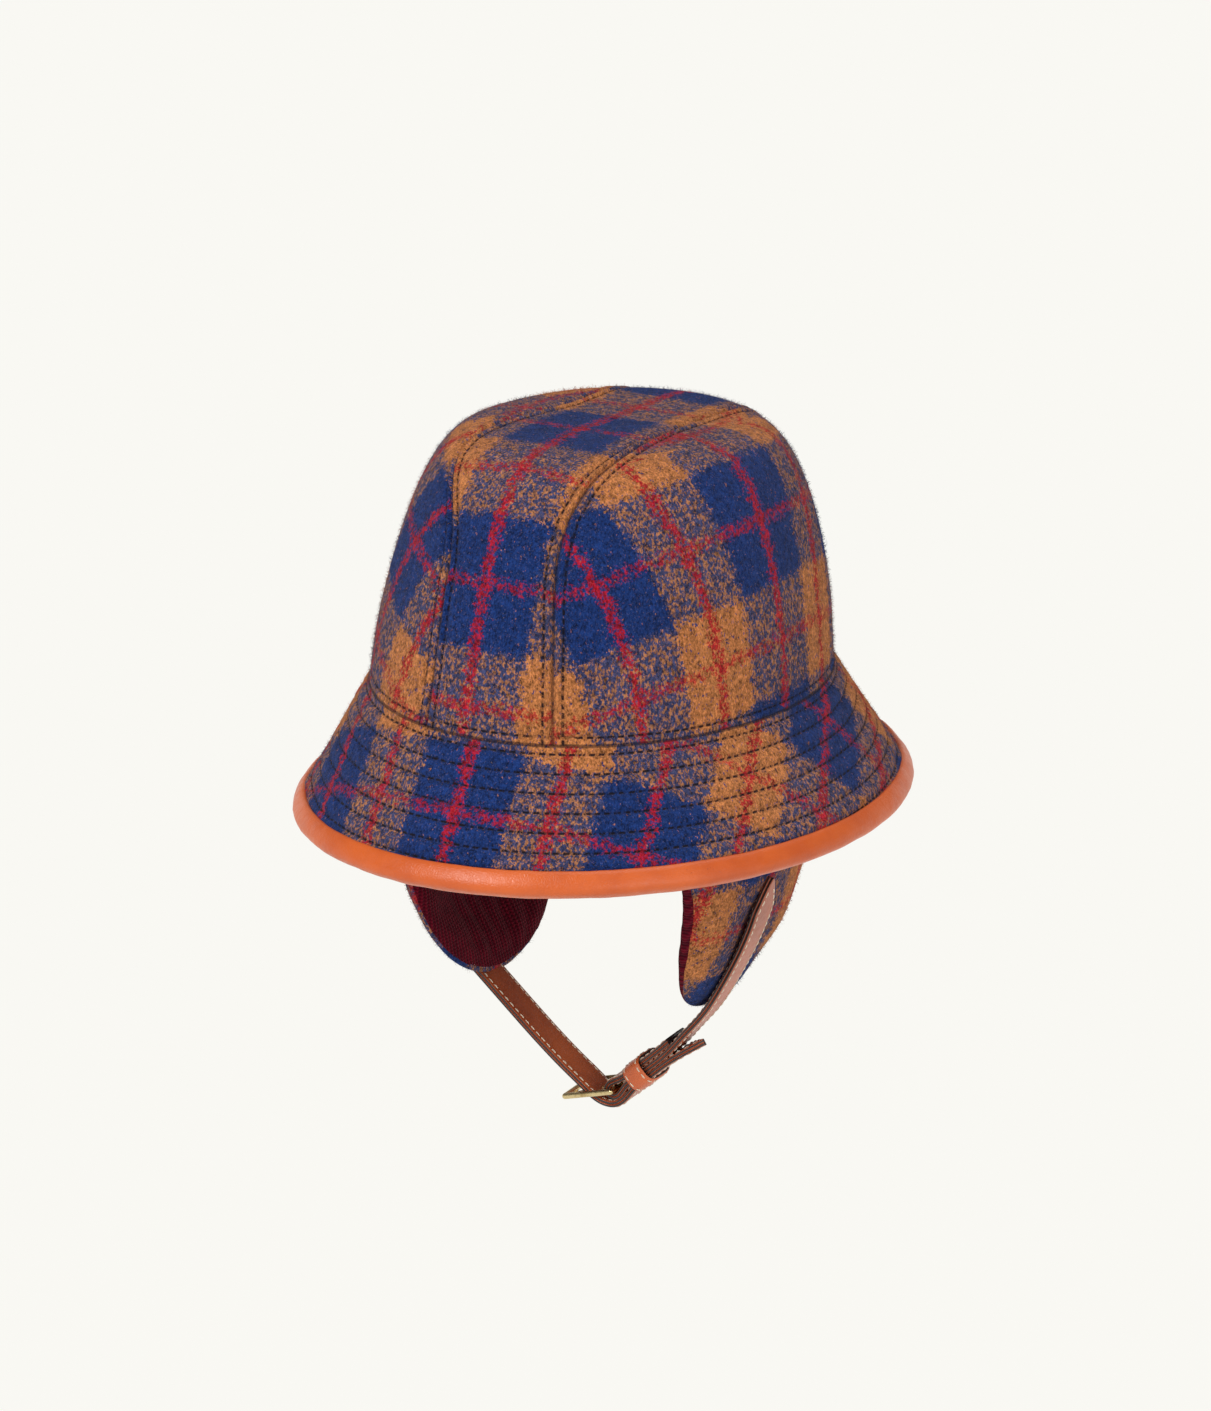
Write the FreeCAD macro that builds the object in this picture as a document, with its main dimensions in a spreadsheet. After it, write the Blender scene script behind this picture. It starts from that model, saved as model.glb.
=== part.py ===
import FreeCAD, Part
import math
import os

# Plaid wool hat with a quilted brim, two padded ear flaps and a buckled chin strap.
# Millimetres. Origin: middle of the head opening, in the plane where crown and brim meet.
# +Z up, the wearer's front is -Y, the wearer's left is +X.

doc = FreeCAD.newDocument("TrapperHat")
sheet = doc.addObject("Spreadsheet::Sheet", "dims")

DIMENSIONS = [
    ("head_half_width", 83.0),
    ("head_half_length", 105.0),
    ("crown_height", 96.0),
    ("crown_taper_side", 0.11),
    ("crown_taper_length", 0.16),
    ("crown_set_back", 3.5),
    ("crown_fullness", 8.8),
    ("wool_thickness", 3.0),
    ("lining_thickness", 1.2),
    ("sweatband_thickness", 1.5),
    ("sweatband_height", 28.0),
    ("panel_half_width_low", 24.6),
    ("panel_half_width_high", 28.6),
    ("brim_half_width", 112.5),
    ("brim_half_length", 139.5),
    ("brim_set_back", 5.0),
    ("brim_drop", 50.5),
    ("brim_lean", 4.5),
    ("brim_cloth_run", 3.0),
    ("brim_core_run", 1.2),
    ("binding_share", 0.165),
    ("binding_run", 1.5),
    ("binding_below", 0.022),
    ("flap_cloth", 2.4),
    ("flap_wadding", 3.2),
    ("flap_lining", 2.0),
    ("flap_top", 1.0),
    ("flap_right_tuck", 5.0),
    ("strap_width", 15.0),
    ("strap_offset", -8.5),
    ("strap_ply", 1.3),
    ("bar_radius", 1.2),
    ("frame_width", 21.0),
    ("frame_length", 21.0),
    ("prong_radius", 0.95),
    ("hole_radius", 1.5),
    ("keeper_length", 9.0),
    ("keeper_wall", 1.5),
]
for row, (name, value) in enumerate(DIMENSIONS, 1):
    sheet.set("A%d" % row, name)
    sheet.set("B%d" % row, str(value))
    sheet.setAlias("B%d" % row, name)
doc.recompute()


def dim(name):
    return float(sheet.get(name))


def bind(obj, prop, text):
    obj.setExpression(prop, text)


def turned(x, y, z, axis, degrees):
    return FreeCAD.Placement(FreeCAD.Vector(x, y, z), FreeCAD.Rotation(FreeCAD.Vector(*axis), degrees))


def named(kind, label):
    obj = doc.addObject(kind, label)
    obj.Label = label
    return obj


def cut(label, base, tool):
    obj = named("Part::Cut", label)
    obj.Base = base
    obj.Tool = tool
    return obj


def common(label, *shapes):
    obj = named("Part::MultiCommon", label)
    obj.Shapes = list(shapes)
    return obj


def fuse(label, *shapes):
    obj = named("Part::MultiFuse", label)
    obj.Shapes = list(shapes)
    return obj


def loft(label, sections, ruled):
    obj = named("Part::Loft", label)
    obj.Sections = sections
    obj.Solid = True
    obj.Ruled = ruled
    return obj


def oval(label, half_x, half_y):
    """An ellipse with its long axis on Y; both half axes are expressions."""
    obj = named("Part::Ellipse", label)
    bind(obj, "MajorRadius", half_y)
    bind(obj, "MinorRadius", half_x)
    return obj


# ---------------------------------------------------------------- crown
# Heights are shares of the crown height; the oval shrinks with height by the taper
# and by the fullness curve that rounds the top.
LEVELS = [0.0, 0.25, 0.5, 0.7, 0.85, 0.94, 0.985, 0.999]


def crown_solid(label, inset):
    ovals = []
    for i, u in enumerate(LEVELS):
        full = (1.0 - u * u) ** (1.0 / dim("crown_fullness")) if u else 1.0
        section = oval(
            "%s_section_%d" % (label, i),
            "(dims.head_half_width - %s) * %.6f * (1 - dims.crown_taper_side * %g)" % (inset, full, u),
            "(dims.head_half_length - %s) * %.6f * (1 - dims.crown_taper_length * %g)" % (inset, full, u),
        )
        section.Placement = turned(0, 0, 0, (0, 0, 1), 90)
        bind(section, "Placement.Base.y", "dims.crown_set_back * %g" % u)
        bind(section, "Placement.Base.z", "(dims.crown_height - %s) * %g" % (inset, u))
        ovals.append(section)
    return loft(label, ovals, False)


wool = "dims.wool_thickness"
inner = "(dims.wool_thickness + dims.lining_thickness)"
band = "(dims.wool_thickness + dims.lining_thickness + dims.sweatband_thickness)"
crown_outside = crown_solid("crown_outside", "0")
crown_middle = crown_solid("crown_middle", wool)
crown_inside = crown_solid("crown_inside", inner)
crown_hollow = crown_solid("crown_hollow", band)

# The centre panel is a little wider at the top of the head than at the seam.
centre_strip = named("Part::Wedge", "centre_strip")
centre_strip.Ymin = -200
centre_strip.Zmin = -200
centre_strip.Ymax = 100
centre_strip.Zmax = 200
centre_strip.Z2min = -200
centre_strip.Z2max = 200
PANEL_SLOPE = "(dims.panel_half_width_high - dims.panel_half_width_low) / dims.crown_height"
bind(centre_strip, "Xmin", "-dims.panel_half_width_low + 200 * " + PANEL_SLOPE)
bind(centre_strip, "Xmax", "dims.panel_half_width_low - 200 * " + PANEL_SLOPE)
bind(centre_strip, "X2min", "-dims.panel_half_width_low - 100 * " + PANEL_SLOPE)
bind(centre_strip, "X2max", "dims.panel_half_width_low + 100 * " + PANEL_SLOPE)
centre_strip.Placement = turned(0, 0, 0, (1, 0, 0), 90)


def half_space(label, side):
    box = named("Part::Box", label)
    box.Length = 200
    box.Width = 400
    box.Height = 300
    box.Placement = turned(0 if side > 0 else -200, -200, -50, (0, 0, 1), 0)
    return box


left_half = half_space("left_half", 1)
right_half = half_space("right_half", -1)


def shell_panels(prefix, outer_solid, inner_solid):
    shell = cut(prefix + "_shell", outer_solid, inner_solid)
    centre = common(prefix + "_centre_panel", shell, centre_strip)
    sides = cut(prefix + "_sides", shell, centre_strip)
    left = common(prefix + "_side_panel_left", sides, left_half)
    right = common(prefix + "_side_panel_right", sides, right_half)
    return [centre, left, right]


nodes = shell_panels("crown", crown_outside, crown_middle)
nodes += shell_panels("lining", crown_middle, crown_inside)

band_slab = named("Part::Box", "band_slab")
band_slab.Length = 400
band_slab.Width = 400
bind(band_slab, "Height", "dims.sweatband_height")
band_slab.Placement = turned(-200, -200, 0, (0, 0, 1), 0)
band_blank = common("band_blank", crown_inside, band_slab)
nodes.append(cut("sweatband", band_blank, crown_hollow))


# ---------------------------------------------------------------- brim
# Every brim surface is a straight-sided cone between the head oval and the edge oval.
# The edge oval leans a little, so that the wearer's right side hangs lower.
def brim_section(label, share, grow):
    half_x = "(dims.head_half_width * %g + dims.brim_half_width * %g + %s)" % (1.0 - share, share, grow)
    half_y = "(dims.head_half_length * %g + dims.brim_half_length * %g + %s)" % (1.0 - share, share, grow)
    section = oval(label, half_x, half_y)
    lean = math.degrees(math.atan(dim("brim_lean") * share / dim("brim_half_width")))
    section.Placement = FreeCAD.Placement(
        FreeCAD.Vector(0, 0, 0),
        FreeCAD.Rotation(FreeCAD.Vector(0, 1, 0), -lean) * FreeCAD.Rotation(FreeCAD.Vector(0, 0, 1), 90),
    )
    bind(section, "Placement.Base.y", "dims.brim_set_back * %g" % share)
    bind(section, "Placement.Base.z", "-dims.brim_drop * %g" % share)
    return section


def brim_cone(label, grow, start=0.0, end=1.0):
    low = brim_section(label + "_upper_oval", start, grow)
    high = brim_section(label + "_lower_oval", end, grow)
    return loft(label, [low, high], True)


run_a = "-dims.brim_cloth_run"
run_b = "-(dims.brim_cloth_run + dims.brim_core_run)"
run_c = "-(2 * dims.brim_cloth_run + dims.brim_core_run)"
brim_outside = brim_cone("brim_outside", "0")
brim_layer_a = brim_cone("brim_layer_a", run_a)
brim_layer_b = brim_cone("brim_layer_b", run_b)
brim_inside = brim_cone("brim_inside", run_c)
nodes.append(cut("brim_upper", brim_outside, brim_layer_a))
nodes.append(cut("brim_interlining", brim_layer_a, brim_layer_b))
nodes.append(cut("brim_underside", brim_layer_b, brim_inside))

binding_start = 1.0 - dim("binding_share")
binding_end = 1.0 + dim("binding_below")
binding_blank = brim_cone("binding_blank", "dims.binding_run", binding_start, binding_end)
binding_bore = brim_cone("binding_bore", run_c + " - dims.binding_run", 0.7, 1.1)
binding_tube = cut("binding_tube", binding_blank, binding_bore)
brim_ring = cut("brim_ring", brim_outside, brim_inside)
nodes.append(cut("brim_binding", binding_tube, brim_ring))


# ---------------------------------------------------------------- ear flaps
# A flap is a slice of a curved shell: ovals at each depth below the seam, then trimmed
# to the flap's outline. Depth, half width and half length of each oval:
FLAP_OVALS = [
    (0.0, 74.6, 96.0),
    (12.0, 74.9, 96.2),
    (30.0, 78.4, 98.0),
    (50.0, 78.3, 98.0),
    (70.0, 75.8, 96.0),
    (86.0, 71.6, 92.5),
    (103.0, 65.5, 87.5),
    (118.0, 57.5, 82.0),
    (132.0, 49.0, 77.0),
]
FLAP_CENTRE_BACK = 6.0
# Outline seen from the side: front edge, rounded toe, back edge (y, depth).
FLAP_FRONT_TOP = -62.0
FLAP_BACK_TOP = 78.0
FLAP_TOE_CENTRE = 3.0
FLAP_TOE_RADIUS = 38.0
FLAP_LENGTH = 128.0


def flap_solid(label, inset):
    ovals = []
    for i, (depth, half_x, half_y) in enumerate(FLAP_OVALS):
        section = oval("%s_section_%d" % (label, i), "%g - %s" % (half_x, inset), "%g - %s" % (half_y, inset))
        section.Placement = turned(0, FLAP_CENTRE_BACK, -depth, (0, 0, 1), 90)
        ovals.append(section)
    return loft(label, ovals, False)


def flap_outline(label):
    """Sketch in the YZ plane of the flap's side view."""
    toe_z = -(FLAP_LENGTH - FLAP_TOE_RADIUS)
    centre = (FLAP_TOE_CENTRE, toe_z)
    top = -dim("flap_top")

    def tangent_point(corner, side):
        dx = centre[0] - corner[0]
        dz = centre[1] - corner[1]
        reach = math.hypot(dx, dz)
        angle = math.atan2(-dz, -dx) + side * math.acos(FLAP_TOE_RADIUS / reach)
        return (
            centre[0] + FLAP_TOE_RADIUS * math.cos(angle),
            centre[1] + FLAP_TOE_RADIUS * math.sin(angle),
        )

    front = (FLAP_FRONT_TOP, top - 7.5)
    back = (FLAP_BACK_TOP, top - 12.0)
    shoulder_front = (FLAP_FRONT_TOP + 42.0, top)
    shoulder_back = (FLAP_BACK_TOP - 58.0, top)
    low_front = tangent_point(front, 1)
    low_back = tangent_point(back, -1)
    toe = (centre[0], centre[1] - FLAP_TOE_RADIUS)
    sketch = named("Sketcher::SketchObject", label)
    sketch.Placement = FreeCAD.Placement(FreeCAD.Vector(0, 0, 0), FreeCAD.Rotation(FreeCAD.Vector(1, 1, 1), 120))
    vec = lambda p: FreeCAD.Vector(p[0], p[1], 0)
    sketch.addGeometry(Part.LineSegment(vec(shoulder_front), vec(front)))
    sketch.addGeometry(Part.LineSegment(vec(front), vec(low_front)))
    sketch.addGeometry(Part.Arc(vec(low_front), vec(toe), vec(low_back)))
    sketch.addGeometry(Part.LineSegment(vec(low_back), vec(back)))
    sketch.addGeometry(Part.LineSegment(vec(back), vec(shoulder_back)))
    sketch.addGeometry(Part.LineSegment(vec(shoulder_back), vec(shoulder_front)))
    return sketch


def flap_prism(label, side):
    prism = named("Part::Extrusion", label)
    prism.Base = flap_outline(label + "_outline")
    prism.DirMode = "Custom"
    prism.Dir = FreeCAD.Vector(side, 0, 0)
    prism.LengthFwd = 120
    prism.Solid = True
    return prism


flap_layers = [
    flap_solid("flap_skin_outside", "0"),
    flap_solid("flap_skin_a", "dims.flap_cloth"),
    flap_solid("flap_skin_b", "(dims.flap_cloth + dims.flap_wadding)"),
    flap_solid("flap_skin_inside", "(dims.flap_cloth + dims.flap_wadding + dims.flap_lining)"),
]
FLAP_PIECES = ["outer", "padding", "lining"]
HINGE_X = 75.7
for side, word in ((1, "left"), (-1, "right")):
    prism = flap_prism("flap_%s_prism" % word, side)
    for i, piece in enumerate(FLAP_PIECES):
        layer = cut("flap_%s_%s_layer" % (word, piece), flap_layers[i], flap_layers[i + 1])
        node = common("flap_%s_%s" % (word, piece), layer, prism)
        if side < 0:
            # The right flap is drawn in further by the strap, turning about its hinge line.
            tuck = dim("flap_right_tuck")
            swing = FreeCAD.Rotation(FreeCAD.Vector(0, 1, 0), -tuck)
            pivot = FreeCAD.Vector(-HINGE_X, 0, 0)
            node.Placement = FreeCAD.Placement(pivot - swing.multVec(pivot), swing)
        nodes.append(node)


# ---------------------------------------------------------------- chin strap
# Each half is a ribbon bent in the XZ plane. The middle line separates the two plies.
HEEL = (18.0, -166.0)
ALONG = (math.cos(math.radians(45.0)), math.sin(math.radians(45.0)))
OUTWARD = (ALONG[1], -ALONG[0])


def near_heel(run, out):
    """A point given by its run along the closed strap and its distance outwards."""
    return (
        HEEL[0] + ALONG[0] * run + OUTWARD[0] * out,
        HEEL[1] + ALONG[1] * run + OUTWARD[1] * out,
    )


PLY = dim("strap_ply")
GAP = 0.2
WRAP = 2 * PLY + GAP
left_line = [
    (78.2, -68.0),
    (74.4, -84.0),
    (69.0, -99.0),
    (62.5, -113.0),
    (55.0, -126.5),
    (47.5, -136.4),
    near_heel(28.0, PLY + GAP + 0.1),
    near_heel(18.0, PLY + GAP),
    near_heel(10.0, PLY + GAP),
    near_heel(5.0, PLY + GAP + 0.35),
    near_heel(2.2, WRAP - 0.25),
    near_heel(0.0, WRAP),
    near_heel(-WRAP * 0.7071, WRAP * 0.7071),
    near_heel(-WRAP, 0.0),
    near_heel(-WRAP * 0.7071, -WRAP * 0.7071),
    near_heel(0.0, -WRAP),
    near_heel(2.2, -WRAP + 0.25),
    near_heel(5.0, -PLY - GAP - 0.35),
    near_heel(10.0, -PLY - GAP),
    near_heel(18.0, -PLY - GAP),
    near_heel(27.0, -PLY - GAP + 0.1),
    near_heel(34.0, -PLY - GAP - 0.2),
]


def tucked(x, z):
    """Left-hand flap point carried to the right flap and turned in with it."""
    angle = math.radians(dim("flap_right_tuck"))
    dx = HINGE_X - x
    return (
        -HINGE_X + dx * math.cos(angle) - z * math.sin(angle),
        z * math.cos(angle) + dx * math.sin(angle),
    )


right_line = [
    tucked(78.2, -68.0),
    tucked(74.4, -84.0),
    tucked(69.0, -99.0),
    tucked(62.5, -113.0),
    tucked(55.2, -126.5),
    (-27.5, -139.0),
    (-17.0, -148.5),
    (-8.0, -156.5),
    (0.0, -163.4),
    (7.0, -169.0),
    (13.0, -172.0),
    (18.8, -171.9),
    near_heel(3.6, 5.2),
    near_heel(9.0, 3 * PLY + 2 * GAP),
    near_heel(18.0, 3 * PLY + 2 * GAP),
    near_heel(28.0, 3 * PLY + 3 * GAP),
    near_heel(36.0, 3 * PLY + 1.5),
    near_heel(43.0, 3 * PLY + 2.9),
]


def offset_line(points, distance):
    """The curve through the points, moved sideways by the distance (+ is to its left)."""
    curve = Part.BSplineCurve()
    curve.interpolate([FreeCAD.Vector(x, z, 0) for x, z in points])
    if distance == 0:
        return curve
    moved = []
    count = 8 * len(points)
    for i in range(count + 1):
        u = curve.FirstParameter + (curve.LastParameter - curve.FirstParameter) * i / count
        tangent = curve.tangent(u)[0]
        side = FreeCAD.Vector(-tangent.y, tangent.x, 0)
        moved.append(curve.value(u) + side * distance)
    result = Part.BSplineCurve()
    result.interpolate(moved)
    return result


def ply(label, points, distance):
    """One leather ply between the middle line and a line moved sideways."""
    middle = offset_line(points, 0)
    edge = offset_line(points, distance)
    sketch = named("Sketcher::SketchObject", label + "_profile")
    sketch.Placement = FreeCAD.Placement(FreeCAD.Vector(0, 0, 0), FreeCAD.Rotation(FreeCAD.Vector(1, 0, 0), 90))
    sketch.addGeometry(middle)
    sketch.addGeometry(edge)
    start_m, end_m = middle.StartPoint, middle.EndPoint
    start_e, end_e = edge.StartPoint, edge.EndPoint
    sketch.addGeometry(Part.LineSegment(start_m, start_e))
    sketch.addGeometry(Part.LineSegment(end_m, end_e))
    solid = named("Part::Extrusion", label + "_blank")
    solid.Base = sketch
    solid.DirMode = "Custom"
    solid.Dir = FreeCAD.Vector(0, 1, 0)
    solid.Solid = True
    bind(solid, "LengthFwd", "dims.strap_width / 2 + dims.strap_offset")
    bind(solid, "LengthRev", "dims.strap_width / 2 - dims.strap_offset")
    return solid


def corner_cutter(label, tip, along_angle, reach):
    """Two prisms, one for each side of the point, standing across the strap's face."""
    width = dim("strap_width")
    pieces = []
    for side, word in ((-1, "front"), (1, "back")):
        sketch = named("Sketcher::SketchObject", "%s_%s_profile" % (label, word))
        a = FreeCAD.Vector(0, 0, 0)
        b = FreeCAD.Vector(side * (width / 2 + 1), -reach, 0)
        c = FreeCAD.Vector(side * (width / 2 + 1), 3, 0)
        d = FreeCAD.Vector(0, 3, 0)
        for p, q in ((a, b), (b, c), (c, d), (d, a)):
            sketch.addGeometry(Part.LineSegment(p, q))
        prism = named("Part::Extrusion", "%s_%s" % (label, word))
        prism.Base = sketch
        prism.DirMode = "Normal"
        prism.LengthFwd = 7
        prism.LengthRev = 7
        prism.Solid = True
        # Sketch x becomes +Y, sketch y runs along the strap towards its tip.
        along = FreeCAD.Vector(math.cos(along_angle), 0, math.sin(along_angle))
        across = FreeCAD.Vector(0, 1, 0)
        sketch.Placement = FreeCAD.Placement(
            FreeCAD.Vector(tip[0], dim("strap_offset"), tip[1]),
            FreeCAD.Rotation(across, along, across.cross(along), "XYZ"),
        )
        pieces.append(prism)
    return fuse(label, *pieces)


def heading(points, last):
    p, q = (points[-2], points[-1]) if last else (points[1], points[0])
    return math.atan2(q[1] - p[1], q[0] - p[0])


left_tip = corner_cutter("strap_left_tip", left_line[0], heading(left_line, False), 9.0)
right_tip = corner_cutter("strap_right_tip", right_line[0], heading(right_line, False), 9.0)
tongue_tip = corner_cutter("tongue_tip", right_line[-1], heading(right_line, True), 8.0)


def rod(label, start, end, radius_name, y_start, y_end):
    """A cylinder between two points of the strap's frame."""
    a = FreeCAD.Vector(start[0], y_start, start[1])
    b = FreeCAD.Vector(end[0], y_end, end[1])
    cylinder = named("Part::Cylinder", label)
    bind(cylinder, "Radius", radius_name)
    cylinder.Height = (b - a).Length
    cylinder.Placement = FreeCAD.Placement(a, FreeCAD.Rotation(FreeCAD.Vector(0, 0, 1), b - a))
    return cylinder


MID_Y = dim("strap_offset")
# The slot that lets the prong's eye reach the heel bar through the wrapped strap.
slot = named("Part::Box", "prong_slot")
slot.Length = 9.5
slot.Width = 3.8
slot.Height = 9.0
slot.Placement = FreeCAD.Placement(
    FreeCAD.Vector(HEEL[0] - 6.2, MID_Y - 1.9, HEEL[1] - 4.5), FreeCAD.Rotation()
)

BAR = dim("bar_radius")
FRAME_DIRECTION = (-math.cos(math.radians(18.0)), -math.sin(math.radians(18.0)))
TIP_BAR = (
    HEEL[0] + FRAME_DIRECTION[0] * dim("frame_length"),
    HEEL[1] + FRAME_DIRECTION[1] * dim("frame_length"),
)
PRONG_REST = BAR + 1.25
PRONG_OVERHANG = 2.2
prong_tip = (
    TIP_BAR[0] - FRAME_DIRECTION[1] * PRONG_REST + FRAME_DIRECTION[0] * PRONG_OVERHANG,
    TIP_BAR[1] + FRAME_DIRECTION[0] * PRONG_REST + FRAME_DIRECTION[1] * PRONG_OVERHANG,
)
# Punched holes in the tongue: the prong leans through the one nearest the buckle.
hole_cutters = []
HOLE_PLACES = [
    ((8.9, -170.2), (-0.62, -0.78)),
    ((-6.0, -158.2), (-0.67, -0.74)),
    ((-20.9, -145.0), (-0.67, -0.74)),
]
for i, ((x, z), (nx, nz)) in enumerate(HOLE_PLACES):
    start = (x - 5 * nx, z - 5 * nz)
    end = (x + 5 * nx, z + 5 * nz)
    hole_cutters.append(rod("tongue_hole_%d" % (i + 1), start, end, "dims.hole_radius", MID_Y, MID_Y))
hole_cutters.append(rod("tongue_hole_lean", HEEL, prong_tip, "dims.hole_radius * 0.85", MID_Y, MID_Y))
holes = fuse("tongue_holes", *hole_cutters)

strap_tools = {
    "left": fuse("strap_left_tools", left_tip, slot),
    "right": fuse("strap_right_tools", right_tip, tongue_tip, holes),
}
for word, line, outer_side in (("left", left_line, 1), ("right", right_line, -1)):
    for piece, sign in (("outer", outer_side), ("back", -outer_side)):
        blank = ply("strap_%s_%s" % (word, piece), line, sign * PLY)
        nodes.append(cut("strap_%s_%s" % (word, piece), blank, strap_tools[word]))

# ---------------------------------------------------------------- buckle
HALF_FRAME = dim("frame_width") / 2 - BAR
low_y = MID_Y - HALF_FRAME
high_y = MID_Y + HALF_FRAME
bars = [
    rod("heel_bar", HEEL, HEEL, "dims.bar_radius", low_y, high_y),
    rod("tip_bar", TIP_BAR, TIP_BAR, "dims.bar_radius", low_y, high_y),
    rod("front_rail", HEEL, TIP_BAR, "dims.bar_radius", low_y, low_y),
    rod("back_rail", HEEL, TIP_BAR, "dims.bar_radius", high_y, high_y),
]
corners = []
for i, (place, y) in enumerate(((HEEL, low_y), (HEEL, high_y), (TIP_BAR, low_y), (TIP_BAR, high_y))):
    ball = named("Part::Sphere", "frame_corner_%d" % (i + 1))
    bind(ball, "Radius", "dims.bar_radius")
    ball.Placement.Base = FreeCAD.Vector(place[0], y, place[1])
    corners.append(ball)
nodes.append(fuse("buckle_frame", *(bars + corners)))

# The prong's eye turns on the heel bar and its tip rests outside the tip bar.
EYE_RADIUS = BAR + 1.35
eye_disc = named("Part::Cylinder", "prong_eye_disc")
eye_disc.Radius = EYE_RADIUS
eye_disc.Height = 2.6
eye_disc.Placement = turned(HEEL[0], MID_Y + 1.3, HEEL[1], (1, 0, 0), 90)
shank = rod("prong_shank", HEEL, prong_tip, "dims.prong_radius", MID_Y, MID_Y)
nose = named("Part::Sphere", "prong_nose")
bind(nose, "Radius", "dims.prong_radius")
nose.Placement.Base = FreeCAD.Vector(prong_tip[0], MID_Y, prong_tip[1])
prong_blank = fuse("prong_blank", eye_disc, shank, nose)
eye_bore = named("Part::Cylinder", "prong_eye_bore")
eye_bore.Radius = BAR + 0.08
eye_bore.Height = 8
eye_bore.Placement = turned(HEEL[0], MID_Y + 4, HEEL[1], (1, 0, 0), 90)
nodes.append(cut("buckle_prong", prong_blank, eye_bore))

# ---------------------------------------------------------------- keeper
# A closed leather loop round the three strap thicknesses beside the buckle.
STACK_LOW = -2 * (PLY + GAP)
STACK_HIGH = 4 * (PLY + GAP)
KEEPER_RUN = 13.5


def keeper_box(label, grow, length):
    box = named("Part::Box", label)
    bind(box, "Length", length)
    box.Width = dim("strap_width") + 0.5 + 2 * grow
    box.Height = STACK_HIGH - STACK_LOW + 2 * grow
    return box


keeper_outside = keeper_box("keeper_outside", dim("keeper_wall"), "dims.keeper_length")
keeper_inside = keeper_box("keeper_inside", 0.0, "dims.keeper_length + 4")
turn = FreeCAD.Rotation(FreeCAD.Vector(0, 1, 0), -45)
for box, grow, back in ((keeper_outside, dim("keeper_wall"), 0.0), (keeper_inside, 0.0, 2.0)):
    corner = near_heel(KEEPER_RUN - dim("keeper_length") / 2 - back, STACK_HIGH + grow)
    base = FreeCAD.Vector(corner[0], MID_Y - dim("strap_width") / 2 - 0.25 - grow, corner[1])
    box.Placement = FreeCAD.Placement(base, turn)
nodes.append(cut("strap_keeper", keeper_outside, keeper_inside))

doc.recompute()

for obj in doc.Objects:
    if "Invalid" in obj.State or "Error" in obj.State:
        raise RuntimeError("%s is not valid: %s" % (obj.Label, obj.State))
os.makedirs("parts", exist_ok=True)
for node in nodes:
    shape = node.Shape
    if shape.isNull() or not shape.isValid() or not shape.Solids:
        raise RuntimeError("%s has no valid solid" % node.Label)
    shape.exportStep("parts/%s.step" % node.Label)
    box = shape.BoundBox
    print("%-24s solids %d, volume %8.0f mm3" % (node.Label, len(shape.Solids), shape.Volume))
    print("    x %.1f..%.1f  y %.1f..%.1f  z %.1f..%.1f" % (
        box.XMin, box.XMax, box.YMin, box.YMax, box.ZMin, box.ZMax))
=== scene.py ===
import bpy
import math
import numpy as np
from mathutils import Matrix, Vector
from mathutils.kdtree import KDTree


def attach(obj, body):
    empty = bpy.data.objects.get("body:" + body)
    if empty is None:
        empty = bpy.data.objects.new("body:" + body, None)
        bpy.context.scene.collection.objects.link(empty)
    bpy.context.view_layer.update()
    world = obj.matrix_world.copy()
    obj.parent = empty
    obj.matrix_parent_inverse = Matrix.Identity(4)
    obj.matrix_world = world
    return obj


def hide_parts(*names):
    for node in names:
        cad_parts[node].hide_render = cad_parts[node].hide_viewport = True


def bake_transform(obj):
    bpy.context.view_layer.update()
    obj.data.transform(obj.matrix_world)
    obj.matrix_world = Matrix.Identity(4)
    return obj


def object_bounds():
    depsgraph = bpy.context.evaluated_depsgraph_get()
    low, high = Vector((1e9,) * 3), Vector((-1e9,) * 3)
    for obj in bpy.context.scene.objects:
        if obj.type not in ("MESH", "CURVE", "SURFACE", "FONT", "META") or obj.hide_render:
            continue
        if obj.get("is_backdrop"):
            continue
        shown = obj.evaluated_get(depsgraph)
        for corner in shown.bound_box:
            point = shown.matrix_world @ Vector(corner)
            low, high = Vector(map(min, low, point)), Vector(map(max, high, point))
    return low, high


# Plaid wool hat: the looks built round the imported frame. Shapes are worked out in
# millimetres in the row frame (+Z up, front -Y, wearer's left +X) and stored in metres.
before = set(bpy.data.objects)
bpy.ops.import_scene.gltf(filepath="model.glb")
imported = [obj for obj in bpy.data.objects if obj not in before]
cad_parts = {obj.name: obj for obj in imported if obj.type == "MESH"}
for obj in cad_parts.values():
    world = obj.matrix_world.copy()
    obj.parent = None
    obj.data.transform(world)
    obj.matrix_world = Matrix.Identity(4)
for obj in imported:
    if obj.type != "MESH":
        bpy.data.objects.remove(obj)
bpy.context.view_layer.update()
rng = np.random.default_rng(7)
MM = 0.001

HEAD_X, HEAD_Y, CROWN = 83.0, 105.0, 96.0
TAPER_X, TAPER_Y, FULLNESS, CROWN_SET_BACK = 0.11, 0.16, 8.8, 3.5
BRIM_X, BRIM_Y, BRIM_BACK, BRIM_DROP, BRIM_LEAN = 112.5, 139.5, 5.0, 50.5, 4.5


# ------------------------------------------------------------------ mesh helpers
def new_object(name, points, faces, smooth=True):
    mesh = bpy.data.meshes.new(name)
    corners = [tuple(p) for p in np.asarray(points) * MM]
    mesh.from_pydata(corners, [], [tuple(int(i) for i in f) for f in faces])
    mesh.polygons.foreach_set("use_smooth", [smooth] * len(mesh.polygons))
    mesh.update()
    obj = bpy.data.objects.new(name, mesh)
    bpy.context.scene.collection.objects.link(obj)
    return obj


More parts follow.
